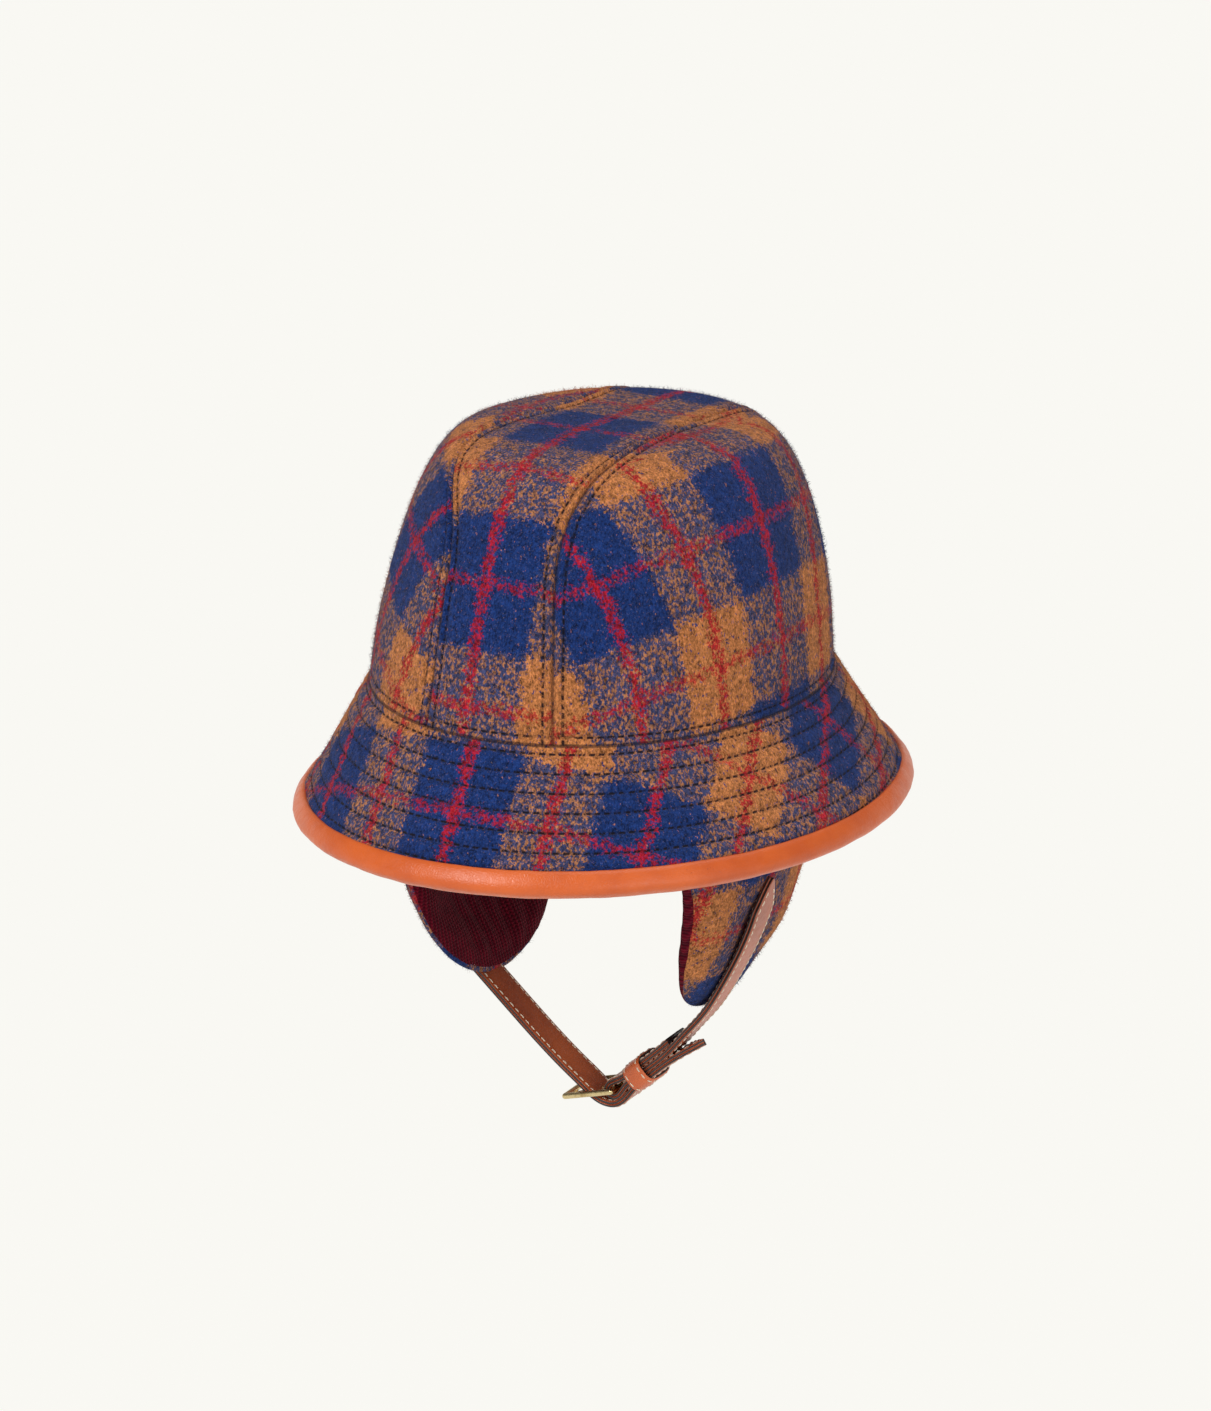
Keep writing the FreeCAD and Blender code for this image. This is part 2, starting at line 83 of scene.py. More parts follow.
def grid_faces(rows, columns, wrap=False, start=0, flip=False):
    r = np.arange(rows - 1)[:, None]
    c = np.arange(columns if wrap else columns - 1)[None, :]
    d = (c + 1) % columns
    ring = (r * columns + c, r * columns + d, (r + 1) * columns + d, (r + 1) * columns + c)
    quads = np.stack(np.broadcast_arrays(*ring), -1).reshape(-1, 4) + start
    return quads[:, ::-1] if flip else quads


def attribute(obj, name, values):
    values = np.asarray(values, np.float32)
    kind = "FLOAT" if values.ndim == 1 else "FLOAT_VECTOR"
    layer = obj.data.attributes.new(name, kind, "POINT")
    layer.data.foreach_set("value" if values.ndim == 1 else "vector", values.ravel())


def coordinates(obj):
    out = np.empty(len(obj.data.vertices) * 3, np.float32)
    obj.data.vertices.foreach_get("co", out)
    return out.reshape(-1, 3).astype(float) / MM


def normals(obj):
    out = np.empty(len(obj.data.vertices) * 3, np.float32)
    obj.data.vertices.foreach_get("normal", out)
    return out.reshape(-1, 3).astype(float)


def push(obj, distance):
    """Moves each vertex along its normal by a distance in millimetres."""
    moved = coordinates(obj) + normals(obj) * np.asarray(distance)[:, None]
    obj.data.vertices.foreach_set("co", (moved * MM).ravel())
    obj.data.update()


def bell(distance, width):
    return np.exp(-((np.asarray(distance) / width) ** 2))


def ripple(points, seed, size):
    """Smooth unevenness from a few sine waves of about the given size, from -1 to 1."""
    local = np.random.default_rng(seed)
    total = np.zeros(len(points))
    for _ in range(9):
        direction = local.normal(size=3)
        direction /= np.linalg.norm(direction)
        waves = points @ direction * (2 * math.pi / size) * local.uniform(0.6, 1.5)
        total += np.sin(waves + local.uniform(0, 6.3))
    return total / 4.0


def make_nap(obj, nap_name, per_mm2, length, names, keep=None):
    """Makes a cloth's loose wool fibres as a piece of their own: thin bent blades that take the
    cloth's colour where they are rooted. keep is a test of the root points."""
    mesh = obj.data
    mesh.calc_loop_triangles()
    count = len(mesh.loop_triangles)
    tri = np.empty(count * 3, np.int32)
    mesh.loop_triangles.foreach_get("vertices", tri)
    tri = tri.reshape(-1, 3)
    co, no = coordinates(obj), normals(obj)
    a, b, c = co[tri[:, 0]], co[tri[:, 1]], co[tri[:, 2]]
    area = np.linalg.norm(np.cross(b - a, c - a), axis=1) / 2
    total = int(area.sum() * per_mm2)
    pick = rng.choice(count, total, p=area / area.sum())
    w = rng.dirichlet((1, 1, 1), total)
    corners = tri[pick]
    root = np.einsum("ij,ijk->ik", w, co[corners])
    up = np.einsum("ij,ijk->ik", w, no[corners])
    if keep is not None:
        good = keep(root)
        root, up, w, corners = root[good], up[good], w[good], corners[good]
        total = len(root)
    side = rng.normal(size=(total, 3))
    side -= up * (side * up).sum(1)[:, None]
    side /= np.linalg.norm(side, axis=1)[:, None]
    across = np.cross(up, side)
    reach = length * rng.uniform(0.35, 1.0, total) ** 1.5
    rise = rng.uniform(0.15, 0.85, total)
    middle = root + up * (reach * rise * 0.55)[:, None] + side * (reach * 0.35)[:, None]
    bend = rng.normal(size=(total, 1)) * 0.35
    tip = root + up * (reach * rise)[:, None] * 0.8 + side * (reach * 0.85)[:, None]
    tip = tip + across * bend * reach[:, None]
    half = across * 0.045
    foot = root - up * 0.2
    blades = np.stack([foot - half, foot + half, middle + half, middle - half, tip], 1).reshape(-1, 3)
    k = np.arange(total)[:, None] * 5
    quads = np.concatenate([k, k + 1, k + 2, k + 3], 1)
    tips = np.concatenate([k + 3, k + 2, k + 4], 1)
    nap = new_object(nap_name, blades, quads.tolist() + tips.tolist())
    nap.data.materials.append(mesh.materials[0])
    for name in names:
        layer = mesh.attributes[name]
        wide = 3 if layer.data_type == "FLOAT_VECTOR" else 1
        data = np.empty(len(co) * wide, np.float32)
        layer.data.foreach_get("vector" if wide == 3 else "value", data)
        rooted = np.einsum("ij,ijk->ik", w, data.reshape(-1, wide)[corners])
        rooted = np.repeat(rooted, 5, axis=0)
        attribute(nap, name, rooted[:, 0] if wide == 1 else rooted)
    return nap


# ------------------------------------------------------------------ material helpers
class Nodes:
    """Small wrapper that builds a node material with few words."""

    def __init__(self, name):
        self.material = bpy.data.materials.new(name)
        self.material.use_nodes = True
        self.tree = self.material.node_tree
        self.shader = self.tree.nodes["Principled BSDF"]

    def node(self, kind, inputs=(), **settings):
        node = self.tree.nodes.new(kind)
        for key, value in settings.items():
            setattr(node, key, value)
        for key, value in dict(inputs).items():
            self.put(node.inputs[key], value)
        return node

    def put(self, socket, value):
        if isinstance(value, bpy.types.NodeSocket):
            self.tree.links.new(value, socket)
        elif value is not None:
            socket.default_value = value

    def math(self, operation, a, b=None, c=None):
        node = self.tree.nodes.new("ShaderNodeMath")
        node.operation = operation
        for i, value in enumerate((a, b, c)):
            if value is not None:
                self.put(node.inputs[i], value)
        return node.outputs[0]

    def times(self, a, b):
        return self.math("MULTIPLY", a, b)

    def plus(self, a, b):
        return self.math("ADD", a, b)

    def minus(self, a, b):
        return self.math("SUBTRACT", a, b)

    def mix(self, factor, a, b, blend="MIX"):
        node = self.tree.nodes.new("ShaderNodeMix")
        node.data_type = "RGBA"
        node.blend_type = blend
        self.put(node.inputs[0], factor)
        self.put(node.inputs[6], a)
        self.put(node.inputs[7], b)
        return node.outputs[2]

    def place(self):
        return self.node("ShaderNodeTexCoord").outputs["Object"]

    def noise(self, scale, detail=2.0, roughness=0.5, place=None, shift=(0, 0, 0), stretch=(1, 1, 1)):
        at = {"Vector": place or self.place(), "Location": shift, "Scale": stretch}
        mapping = self.node("ShaderNodeMapping", at)
        look = {"Vector": mapping.outputs[0], "Scale": scale, "Detail": detail, "Roughness": roughness}
        return self.node("ShaderNodeTexNoise", look).outputs["Fac"]

    def steps(self, value, low, high):
        ends = {"Value": value, "From Min": low, "From Max": high}
        return self.node("ShaderNodeMapRange", ends, interpolation_type="SMOOTHSTEP").outputs[0]

    def scaled(self, value, low, high, to_low, to_high):
        ends = {"Value": value, "From Min": low, "From Max": high, "To Min": to_low, "To Max": to_high}
        return self.node("ShaderNodeMapRange", ends).outputs[0]

    def value(self, name):
        return self.node("ShaderNodeAttribute", attribute_name=name).outputs["Fac"]

    def vector(self, name):
        return self.node("ShaderNodeAttribute", attribute_name=name).outputs["Vector"]

    def split(self, vector):
        return self.node("ShaderNodeSeparateXYZ", {"Vector": vector}).outputs

    def bump(self, height, strength, distance, below=None):
        node = self.node("ShaderNodeBump", {"Height": height, "Strength": strength, "Distance": distance})
        if below is not None:
            self.put(node.inputs["Normal"], below)
        return node.outputs[0]

    def set(self, **values):
        for key, value in values.items():
            self.put(self.shader.inputs[key.replace("_", " ")], value)
        return self.material


def rgb(r, g, b):
    """Linear colour from an 8-bit display colour."""
    out = []
    for v in (r, g, b):
        v = v / 255.0
        out.append(v / 12.92 if v <= 0.04045 else ((v + 0.055) / 1.055) ** 2.4)
    return (*out, 1.0)


NAVY, TAN, RED = rgb(26, 52, 110), rgb(192, 122, 72), rgb(176, 22, 38)


def plaid_colour(n, u, v):
    """Brushed check from a warp and a weft coordinate in millimetres. Bands: warp 31 tan and
    39 navy, weft 41 tan and 49 navy, each with a red line down its middle."""

    def wander(shift):
        coarse = n.times(n.minus(n.noise(260, 2, 0.5, shift=(shift, 7, 1)), 0.5), 7.0)
        fine = n.times(n.minus(n.noise(1100, 2, 0.6, shift=(shift, 2, 5)), 0.5), 9.0)
        return n.plus(coarse, fine)

    def yarn(coordinate, shift, period, tan_width):
        place = n.plus(coordinate, wander(shift))
        turns = n.math("DIVIDE", n.plus(place, period * 40 + tan_width / 2), period)
        phase = n.times(n.math("FRACT", turns), period)
        from_tan = n.math("ABSOLUTE", n.minus(phase, tan_width / 2))
        from_navy = n.math("ABSOLUTE", n.minus(phase, (period + tan_width) / 2))
        band = n.steps(from_tan, tan_width / 2 + 1.5, tan_width / 2 - 1.5)
        return band, n.steps(n.math("MINIMUM", from_tan, from_navy), 2.6, 1.4)

    warp, warp_line = yarn(u, 3, 70.0, 31.0)
    weft, weft_line = yarn(v, 11, 90.0, 41.0)
    fine = n.noise(1000, 2, 0.65, shift=(9, 2, 4), stretch=(1, 1, 0.6))
    coarse = n.noise(330, 2, 0.5, shift=(1, 2, 8))
    pepper = n.plus(n.times(fine, 0.72), n.times(coarse, 0.28))
    both = n.times(n.plus(warp, weft), 0.5)
    level = n.scaled(both, 0.0, 1.0, 0.665, 0.385)
    colour = n.mix(n.steps(n.minus(pepper, level), -0.045, 0.045), NAVY, TAN)
    off_middle = n.math("ABSOLUTE", n.minus(n.times(both, 2.0), 1.0))
    single = n.minus(1.0, off_middle)
    colour = n.mix(n.times(single, 0.30), colour, rgb(104, 92, 92))
    broken = n.steps(n.noise(700, 2, 0.6, shift=(5, 5, 8)), 0.36, 0.52)
    broken_more = n.steps(n.noise(700, 2, 0.6, shift=(1, 8, 3)), 0.41, 0.57)
    colour = n.mix(n.times(n.times(warp_line, broken), 0.9), colour, RED)
    return n.mix(n.times(n.times(weft_line, broken_more), 0.80), colour, RED)


def wool(name, coordinate_pair, marks):
    """Plaid brushed wool. coordinate_pair(n) gives warp and weft; marks(n) gives the darkness of
    seams and stitches, from 0 to 1."""
    n = Nodes(name)
    u, v = coordinate_pair(n)
    colour = plaid_colour(n, u, v)
    small = n.noise(1500, 2, 0.7, shift=(2, 4, 6), stretch=(1, 1, 0.55))
    speck = n.plus(n.times(small, 0.6), n.times(n.noise(420, 3, 0.6), 0.4))
    level = n.scaled(speck, 0.36, 0.64, 0.22, 1.45)
    grey = n.node("ShaderNodeCombineColor", {"Red": level, "Green": level, "Blue": level}).outputs[0]
    colour = n.mix(1.0, colour, grey, "MULTIPLY")
    pale = n.steps(n.noise(1300, 3, 0.8, shift=(7, 1, 2)), 0.58, 0.72)
    colour = n.mix(n.times(pale, 0.22), colour, rgb(196, 168, 146))
    dark = marks(n)
    if dark is not None:
        colour = n.mix(dark, colour, rgb(24, 20, 28))
    curl = n.noise(900, 4, 0.75)
    soft = n.noise(210, 2, 0.5, shift=(4, 4, 4))
    normal = n.bump(soft, 0.4, 0.002)
    normal = n.bump(curl, 0.8, 0.0012, normal)
    if dark is not None:
        normal = n.bump(n.minus(1.0, dark), 0.6, 0.0008, normal)
    n.set(Base_Color=colour, Roughness=0.95, Normal=normal)
    n.set(Sheen_Weight=0.06, Sheen_Roughness=0.5, Specular_IOR_Level=0.05)
    n.shader.inputs["Sheen Tint"].default_value = (1.0, 0.93, 0.88, 1.0)
    return n.material


def knit(name, base, light):
    """Fine ribbed knit, ribs running down the piece."""
    n = Nodes(name)
    pair = n.split(n.vector("knit"))
    rib = n.math("SINE", n.times(pair[0], 2 * math.pi / 1.5))
    along = n.times(pair[1], 2 * math.pi / 1.3)
    loop = n.math("SINE", n.plus(along, n.times(rib, 1.1)))
    relief = n.plus(n.times(rib, 0.5), n.times(loop, 0.35))
    shade = n.steps(relief, -0.8, 0.9)
    blotch = n.noise(240, 3, 0.6)
    colour = n.mix(shade, base, light)
    colour = n.mix(n.steps(blotch, 0.35, 0.7), colour, n.mix(0.5, colour, rgb(60, 4, 20)))
    normal = n.bump(relief, 0.6, 0.0006)
    normal = n.bump(n.noise(900, 3, 0.6), 0.3, 0.0005, normal)
    n.set(Base_Color=colour, Roughness=0.95, Normal=normal)
    return n.set(Sheen_Weight=0.03, Sheen_Roughness=0.5, Specular_IOR_Level=0.08)


def leather(name, base, dark, roughness, coat, grain=1.0):
    n = Nodes(name)
    broad = n.noise(38, 4, 0.6)
    fine = n.noise(420, 4, 0.6, shift=(3, 1, 2))
    colour = n.mix(n.steps(broad, 0.3, 0.75), base, dark)
    colour = n.mix(n.times(n.steps(fine, 0.55, 0.75), 0.22), colour, dark)
    cells = n.node("ShaderNodeTexVoronoi", {"Vector": n.place(), "Scale": 900}, feature="DISTANCE_TO_EDGE")
    pores = n.steps(cells.outputs["Distance"], 0.0, 0.22)
    wrinkle = n.noise(150, 3, 0.55, stretch=(1, 1, 1.6))
    normal = n.bump(wrinkle, 0.18 * grain, 0.0016)
    normal = n.bump(pores, 0.22 * grain, 0.00025, normal)
    rough = n.scaled(fine, 0.3, 0.7, roughness - 0.07, roughness + 0.1)
    n.set(Base_Color=colour, Roughness=rough, Normal=normal)
    return n.set(Coat_Weight=coat, Coat_Roughness=0.35, Specular_IOR_Level=0.45)


binding_leather = leather("binding_leather", rgb(204, 92, 30), rgb(186, 78, 24), 0.40, 0.12)
# strap's outer face: tan leather paled towards pink to stand in for glare, partly a painted highlight
strap_face_and_glare = leather("strap_leather", rgb(178, 98, 68), rgb(152, 78, 50), 0.42, 0.12)
strap_inside = leather("strap_inside", rgb(176, 84, 38), rgb(140, 58, 24), 0.45, 0.1)
keeper_face = leather("keeper_leather", rgb(214, 106, 52), rgb(180, 82, 38), 0.42, 0.15)
edge_paint = leather("edge_paint", rgb(42, 32, 32), rgb(24, 18, 18), 0.4, 0.2, 0.6)


def thread_material(name, colour, dark):
    n = Nodes(name)
    wave = {"Vector": n.place(), "Scale": 900.0, "Distortion": 2.0}
    twist = n.node("ShaderNodeTexWave", wave).outputs["Fac"]
    return n.set(Base_Color=n.mix(twist, colour, dark), Roughness=0.7, Normal=n.bump(twist, 0.5, 0.0002))


thread = thread_material("cream_thread", rgb(238, 226, 208), rgb(205, 186, 160))


def metal():
    n = Nodes("brass")
    wear = n.noise(240, 4, 0.65)
    scratch = n.noise(800, 3, 0.7, stretch=(1, 6, 1))
    colour = n.mix(n.steps(wear, 0.4, 0.7), rgb(214, 194, 146), rgb(170, 142, 92))
    rough = n.scaled(scratch, 0.3, 0.7, 0.16, 0.34)
    return n.set(Base_Color=colour, Metallic=1.0, Roughness=rough, Normal=n.bump(scratch, 0.12, 0.0002))


brass = metal()


# ------------------------------------------------------------------ crown
def crown_surface(theta, lift, inset=0.0):
    """Points where rays from the middle of the head opening meet the crown's surface."""
    direction = np.stack([np.cos(theta) * np.cos(lift), np.sin(theta) * np.cos(lift), np.sin(lift)], -1)
    low = np.zeros(theta.shape)
    high = np.full(theta.shape, 170.0)
    for _ in range(46):
        mid = (low + high) / 2
        p = direction * mid[..., None]
        u = np.clip(p[..., 2] / (CROWN - inset), 0, 1)
        full = np.maximum(1 - u**2, 1e-9) ** (1 / FULLNESS)
        half_x = (HEAD_X - inset) * full * (1 - TAPER_X * u)
        half_y = (HEAD_Y - inset) * full * (1 - TAPER_Y * u)
        oval = (p[..., 0] / half_x) ** 2 + ((p[..., 1] - CROWN_SET_BACK * u) / half_y) ** 2
        inside = (p[..., 2] < CROWN - inset) & (oval < 1)
        low = np.where(inside, mid, low)
        high = np.where(inside, high, mid)
    return direction * low[..., None]


def along_columns(points):
    """Running length down the first axis of a grid of points."""
    step = np.linalg.norm(np.diff(points, axis=0), axis=-1)
    return np.concatenate([np.zeros((1,) + step.shape[1:]), np.cumsum(step, axis=0)], 0)


def half_strip(points):
    """Half width of the centre panel at a point: it draws in near the shoulder of the crown."""
    z, back_share = points[:, 2], np.clip((points[:, 1] + 45.0) / 60.0, 0, 1)
    left = np.interp(z, [0, 16, 33, 51, 64, 77, 88, 96], [31.6, 29.5, 27.2, 24.3, 22.6, 22.8, 25.0, 27.5])
    right = np.interp(z, [0, 17, 38, 58, 67, 76, 84, 90], [18.4, 18.4, 18.8, 19.8, 22.0, 26.4, 32.0, 35.0])
    left = left + (27.0 - left) * back_share
    right = right + (27.0 - right) * back_share
    return np.where(points[:, 0] > 0, left, right)


def make_crown():
    columns, rows = 760, 190
    theta = np.linspace(0, 2 * math.pi, columns, endpoint=False)
    lift = np.linspace(0, math.pi / 2 * 0.9985, rows)
    grid_theta, grid_lift = np.meshgrid(theta, lift)
    points = crown_surface(grid_theta, grid_lift)
    rise = along_columns(points)
    flat = points.reshape(-1, 3)
    x, y, z = flat.T
    rise = rise.ravel()
    seam = np.abs(x) - half_strip(flat)
    # centre panel: warp across, weft up the front, over the top and down the back
    front_line = crown_surface(np.full(400, -math.pi / 2), np.linspace(0, math.pi / 2, 400))
    back_line = crown_surface(np.full(400, math.pi / 2), np.linspace(math.pi / 2, 0, 400))
    profile = np.concatenate([front_line, back_line[1:]])
    lengths = along_columns(profile)
    over = np.interp(np.arctan2(z, -y), np.arctan2(profile[:, 2], -profile[:, 1]), lengths)
    centre = np.stack([x + 36.5, over - 11.0, 0 * x], 1)
    # side panels: warp parallel to the panel's middle, weft bowed so that it is high at the side
    ring = np.linspace(0, math.pi / 2, 181)
    chords = np.hypot(np.diff(HEAD_X * np.cos(ring)), np.diff(HEAD_Y * np.sin(ring)))
    arc = np.concatenate([[0], np.cumsum(chords)]) / HEAD_Y
    from_middle = np.abs(y - CROWN_SET_BACK * z / CROWN)
    steps = np.linspace(0, 1, 41)
    half_lengths = HEAD_Y * np.maximum(1 - steps**2, 1e-9) ** (1 / FULLNESS) * (1 - TAPER_Y * steps)
    width = np.interp(z / CROWN, steps, half_lengths)
    angle = np.arcsin(np.clip(from_middle / np.maximum(width, 1.0), 0, 1))
    sideways = np.sign(y) * np.interp(angle, ring, arc) * np.maximum(width, 1.0)
    bowed = rise - 2.5 + 18.0 * (np.clip(sideways, -120, 120) / 100.0) ** 2
    sideways = sideways * (1 - 0.14 * np.clip(z / 66.0, 0, 1.2) ** 2)
    lead = np.where(x > 0, 46.6, 38.0)
    side = np.stack([sideways + lead, bowed - 25.0, 0 * x], 1)
    top = len(flat)
    faces = grid_faces(rows, columns, wrap=True).tolist()
    last = (rows - 1) * columns
    faces += [(last + i, last + (i + 1) % columns, top) for i in range(columns)]
    obj = new_object("crown_cloth", np.concatenate([flat, [[0, CROWN_SET_BACK, flat[-1, 2]]]]), faces)
    close = lambda a: np.concatenate([a, a[last : last + 1]])
    attribute(obj, "centre", close(centre))
    attribute(obj, "side", close(side))
    attribute(obj, "seam", close(seam))
    attribute(obj, "rise", close(rise))
    # running length for stitches: up the seam near a seam, round the head near the base
    run = np.where(np.abs(seam) < 7, over, np.arctan2(y, x) * 95.0)
    attribute(obj, "run", close(run))
    beside = np.abs(seam)
    groove = -1.3 * bell(seam, 1.1) - 0.8 * bell(beside - 3.3, 0.9) + 0.7 * bell(beside - 1.7, 1.0)
    groove -= 0.6 * bell(rise - 3.0, 1.0)
    groove += 0.9 * ripple(flat, 3, 75.0) * np.clip(rise / 25.0, 0, 1) * np.clip((175 - rise) / 40.0, 0.2, 1)
    push(obj, close(groove))
    return obj


def crown_coordinates(n):
    where = n.math("GREATER_THAN", n.value("seam"), 0.0)
    mixed = n.node("ShaderNodeMix", data_type="VECTOR")
    n.put(mixed.inputs[0], where)
    n.put(mixed.inputs[4], n.vector("centre"))
    n.put(mixed.inputs[5], n.vector("side"))
    parts = n.split(mixed.outputs[1])
    return parts[0], parts[1]


def line_mark(n, distance, width, depth, dashes=None):
    """Darkness of a sewn line at a distance of zero; dashes is a running length in millimetres."""
    near = n.minus(1.0, n.steps(n.math("ABSOLUTE", distance), width * 0.4, width))
    near = n.times(near, depth)
    if dashes is not None:
        gap = n.math("LESS_THAN", n.math("FRACT", n.math("DIVIDE", dashes, 3.6)), 0.62)
        hidden = n.steps(n.noise(600, 2, 0.6, shift=(6, 6, 6)), 0.34, 0.46)
        shown = n.times(n.times(gap, hidden), 0.8)
        near = n.times(near, n.plus(0.2, shown))
    return near


def crown_marks(n):
    seam = n.value("seam")
    run = n.value("run")
    rise = n.value("rise")
    either = n.math("ABSOLUTE", seam)
    total = line_mark(n, seam, 0.6, 0.6)
    for other in (
        line_mark(n, n.minus(either, 3.3), 0.6, 0.95, run),
        line_mark(n, n.minus(rise, 3.0), 0.6, 0.95, run),
        line_mark(n, rise, 0.9, 0.7),
    ):
        total = n.math("MAXIMUM", total, other)
    return total


crown = make_crown()
crown.data.materials.append(wool("crown_wool", crown_coordinates, crown_marks))
crown_nap = make_nap(crown, "crown_wool_nap", 0.95, 2.8, ["centre", "side", "seam", "rise", "run"])
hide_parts("crown_centre_panel", "crown_side_panel_left", "crown_side_panel_right")
for obj in (crown, crown_nap):
    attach(obj, "hat")


def make_lining():
    columns, rows = 240, 70
    theta = np.linspace(0, 2 * math.pi, columns, endpoint=False)
    lift = np.linspace(0, math.pi / 2 * 0.995, rows)
    grid_theta, grid_lift = np.meshgrid(theta, lift)
    points = crown_surface(grid_theta, grid_lift, 3.4)
    rise = along_columns(points).ravel()
    flat = points.reshape(-1, 3)
    seam = np.abs(flat[:, 0]) - half_strip(flat)
    top = len(flat)
    last = (rows - 1) * columns
    faces = [tuple(f) for f in grid_faces(rows, columns, wrap=True, flip=True).tolist()]
    faces += [(last + (i + 1) % columns, last + i, top) for i in range(columns)]
    obj = new_object("crown_lining_knit", np.concatenate([flat, [[0, 3, flat[-1, 2]]]]), faces)
    close = lambda a: np.concatenate([a, a[last : last + 1]])
    push(obj, close(-0.8 * bell(seam, 1.8) + 0.7 * ripple(flat, 8, 38.0)))
    flat = close(flat)
    across = np.where(close(seam) < 0, flat[:, 0], np.arctan2(flat[:, 1], flat[:, 0]) * 88)
    attribute(obj, "knit", np.stack([across, close(rise), across * 0], 1))
    return obj


# burgundy knit whose colour is made darker to stand in for the weak light under the brim and flaps: its own
# burgundy plus painted shade
burgundy = knit("burgundy_knit", rgb(66, 4, 20), rgb(112, 12, 34))
lining = make_lining()
lining.data.materials.append(burgundy)
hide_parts("lining_centre_panel", "lining_side_panel_left", "lining_side_panel_right")
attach(lining, "hat")


def make_sweatband():
    columns = 360
    theta = np.linspace(0, 2 * math.pi, columns, endpoint=False)
    profile = [
        (0.3, 4.3), (0.0, 4.9), (0.3, 5.6), (2.0, 5.9), (4.0, 5.5), (14.0, 5.9),
        (24.0, 5.5), (26.0, 5.9), (27.6, 5.6), (28.0, 4.9), (27.6, 4.3),
    ]
    rows = []
    for z, inset in profile:
        shrink = (1 - (z / CROWN) ** 2) ** (1 / FULLNESS)
        half_y = (HEAD_Y - inset) * shrink * (1 - TAPER_Y * z / CROWN)
        rows.append(np.stack([
            (HEAD_X - inset) * shrink * (1 - TAPER_X * z / CROWN) * np.cos(theta),
            half_y * np.sin(theta) + CROWN_SET_BACK * z / CROWN,
            np.full(columns, z),
        ], -1))
    points = np.array(rows)
    faces = grid_faces(len(profile), columns, wrap=True, flip=True)
    obj = new_object("sweatband_tape", points.reshape(-1, 3), faces)
    n = Nodes("sweatband_tape")
    pair = n.split(n.vector("knit"))
    ribs = n.math("SINE", n.times(pair[0], 2 * math.pi / 1.1))
    colour = n.mix(n.steps(ribs, -0.9, 0.9), rgb(46, 8, 20), rgb(92, 22, 38))
    stitch_low = line_mark(n, n.minus(pair[1], 3.6), 0.5, 0.9, pair[0])
    stitch_high = line_mark(n, n.minus(pair[1], 25.0), 0.5, 0.9, pair[0])
    colour = n.mix(n.math("MAXIMUM", stitch_low, stitch_high), colour, rgb(160, 60, 70))
    n.set(Base_Color=colour, Roughness=0.75, Normal=n.bump(ribs, 0.4, 0.0003), Sheen_Weight=0.1)
    length = np.tile(theta * 88.0, len(profile))
    height = points[..., 2].ravel()
    attribute(obj, "knit", np.stack([length, height, height * 0], 1))
    obj.data.materials.append(n.material)
    return obj


sweatband = make_sweatband()
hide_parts("sweatband")
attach(sweatband, "hat")


# ------------------------------------------------------------------ brim
BRIM_FRONT_LIFT, BRIM_SIDE_DIP, BRIM_SIDE_WIDEN = 2.2, 0.6, 1.4
BRIM_PLAID_LEAD = (30.5, 18.0)
BINDING_FOLD, BINDING_SET_IN = 0.80, 1.9


def brim_point(theta, share, inset=0.0):
    """A point of the brim's cone: share runs from the head seam, 0, to the edge, 1."""
    half_x = HEAD_X + (BRIM_X - HEAD_X) * share - inset
    half_y = HEAD_Y + (BRIM_Y - HEAD_Y) * share - inset
    wave = BRIM_FRONT_LIFT * np.clip(-np.sin(theta), 0, 1) ** 2 - BRIM_SIDE_DIP * np.cos(theta)
    z = (-BRIM_DROP + BRIM_LEAN * np.cos(theta) + wave) * share
    x = (half_x + BRIM_SIDE_WIDEN * share * np.clip(np.cos(theta), 0, 1) ** 2) * np.cos(theta)
    return np.stack([x, half_y * np.sin(theta) + BRIM_BACK * share, z], -1)


def brim_cloth(name, inset, flip, shares, stitch_rows):
    columns = 900
    theta = np.linspace(0, 2 * math.pi, columns, endpoint=False)
    grid_theta, grid_share = np.meshgrid(theta, shares)
    points = brim_point(grid_theta, grid_share, inset)
    slant = along_columns(points)
    flat = points.reshape(-1, 3)
    # development of the cone, straight grain at the front
    ring = brim_point(theta, np.zeros(columns))
    step = np.linalg.norm(np.roll(ring, -1, 0) - ring, axis=1)
    arc = np.concatenate([[0], np.cumsum(step)[:-1]])
    front = arc[np.argmin(np.abs(theta - 1.5 * math.pi))]
    round_trip = step.sum()
    arc = (arc - front + round_trip / 2) % round_trip - round_trip / 2
    radius = 168.0
    turn = arc / radius
    reach = radius + slant
    warp = reach * np.sin(turn)[None, :]
    weft = reach * np.cos(turn)[None, :] - radius
    obj = new_object(name, flat, grid_faces(len(shares), columns, wrap=True, flip=flip))
    lead_warp, lead_weft = BRIM_PLAID_LEAD
    plaid = np.stack([warp.ravel() + lead_warp, weft.ravel() + lead_weft, 0 * flat[:, 0]], 1)
    attribute(obj, "centre", plaid)
    attribute(obj, "slant", slant.ravel())
    attribute(obj, "run", np.broadcast_to(arc[None, :] * (1 + slant / 180.0), slant.shape).ravel())
    puff = np.zeros(slant.size)
    s = slant.ravel()
    for row in stitch_rows:
        puff -= 0.75 * bell(s - row, 1.15)
    puff += 0.45 * ripple(flat, 5, 30.0) * np.clip(s / 8, 0, 1)
    puff += 0.5 * ripple(flat, 6, 90.0) * np.clip(s / 15, 0, 1)
    push(obj, puff)
    return obj


STITCH_ROWS = [3.0, 10.2, 17.4, 24.6, 31.8, 39.0, 46.0]


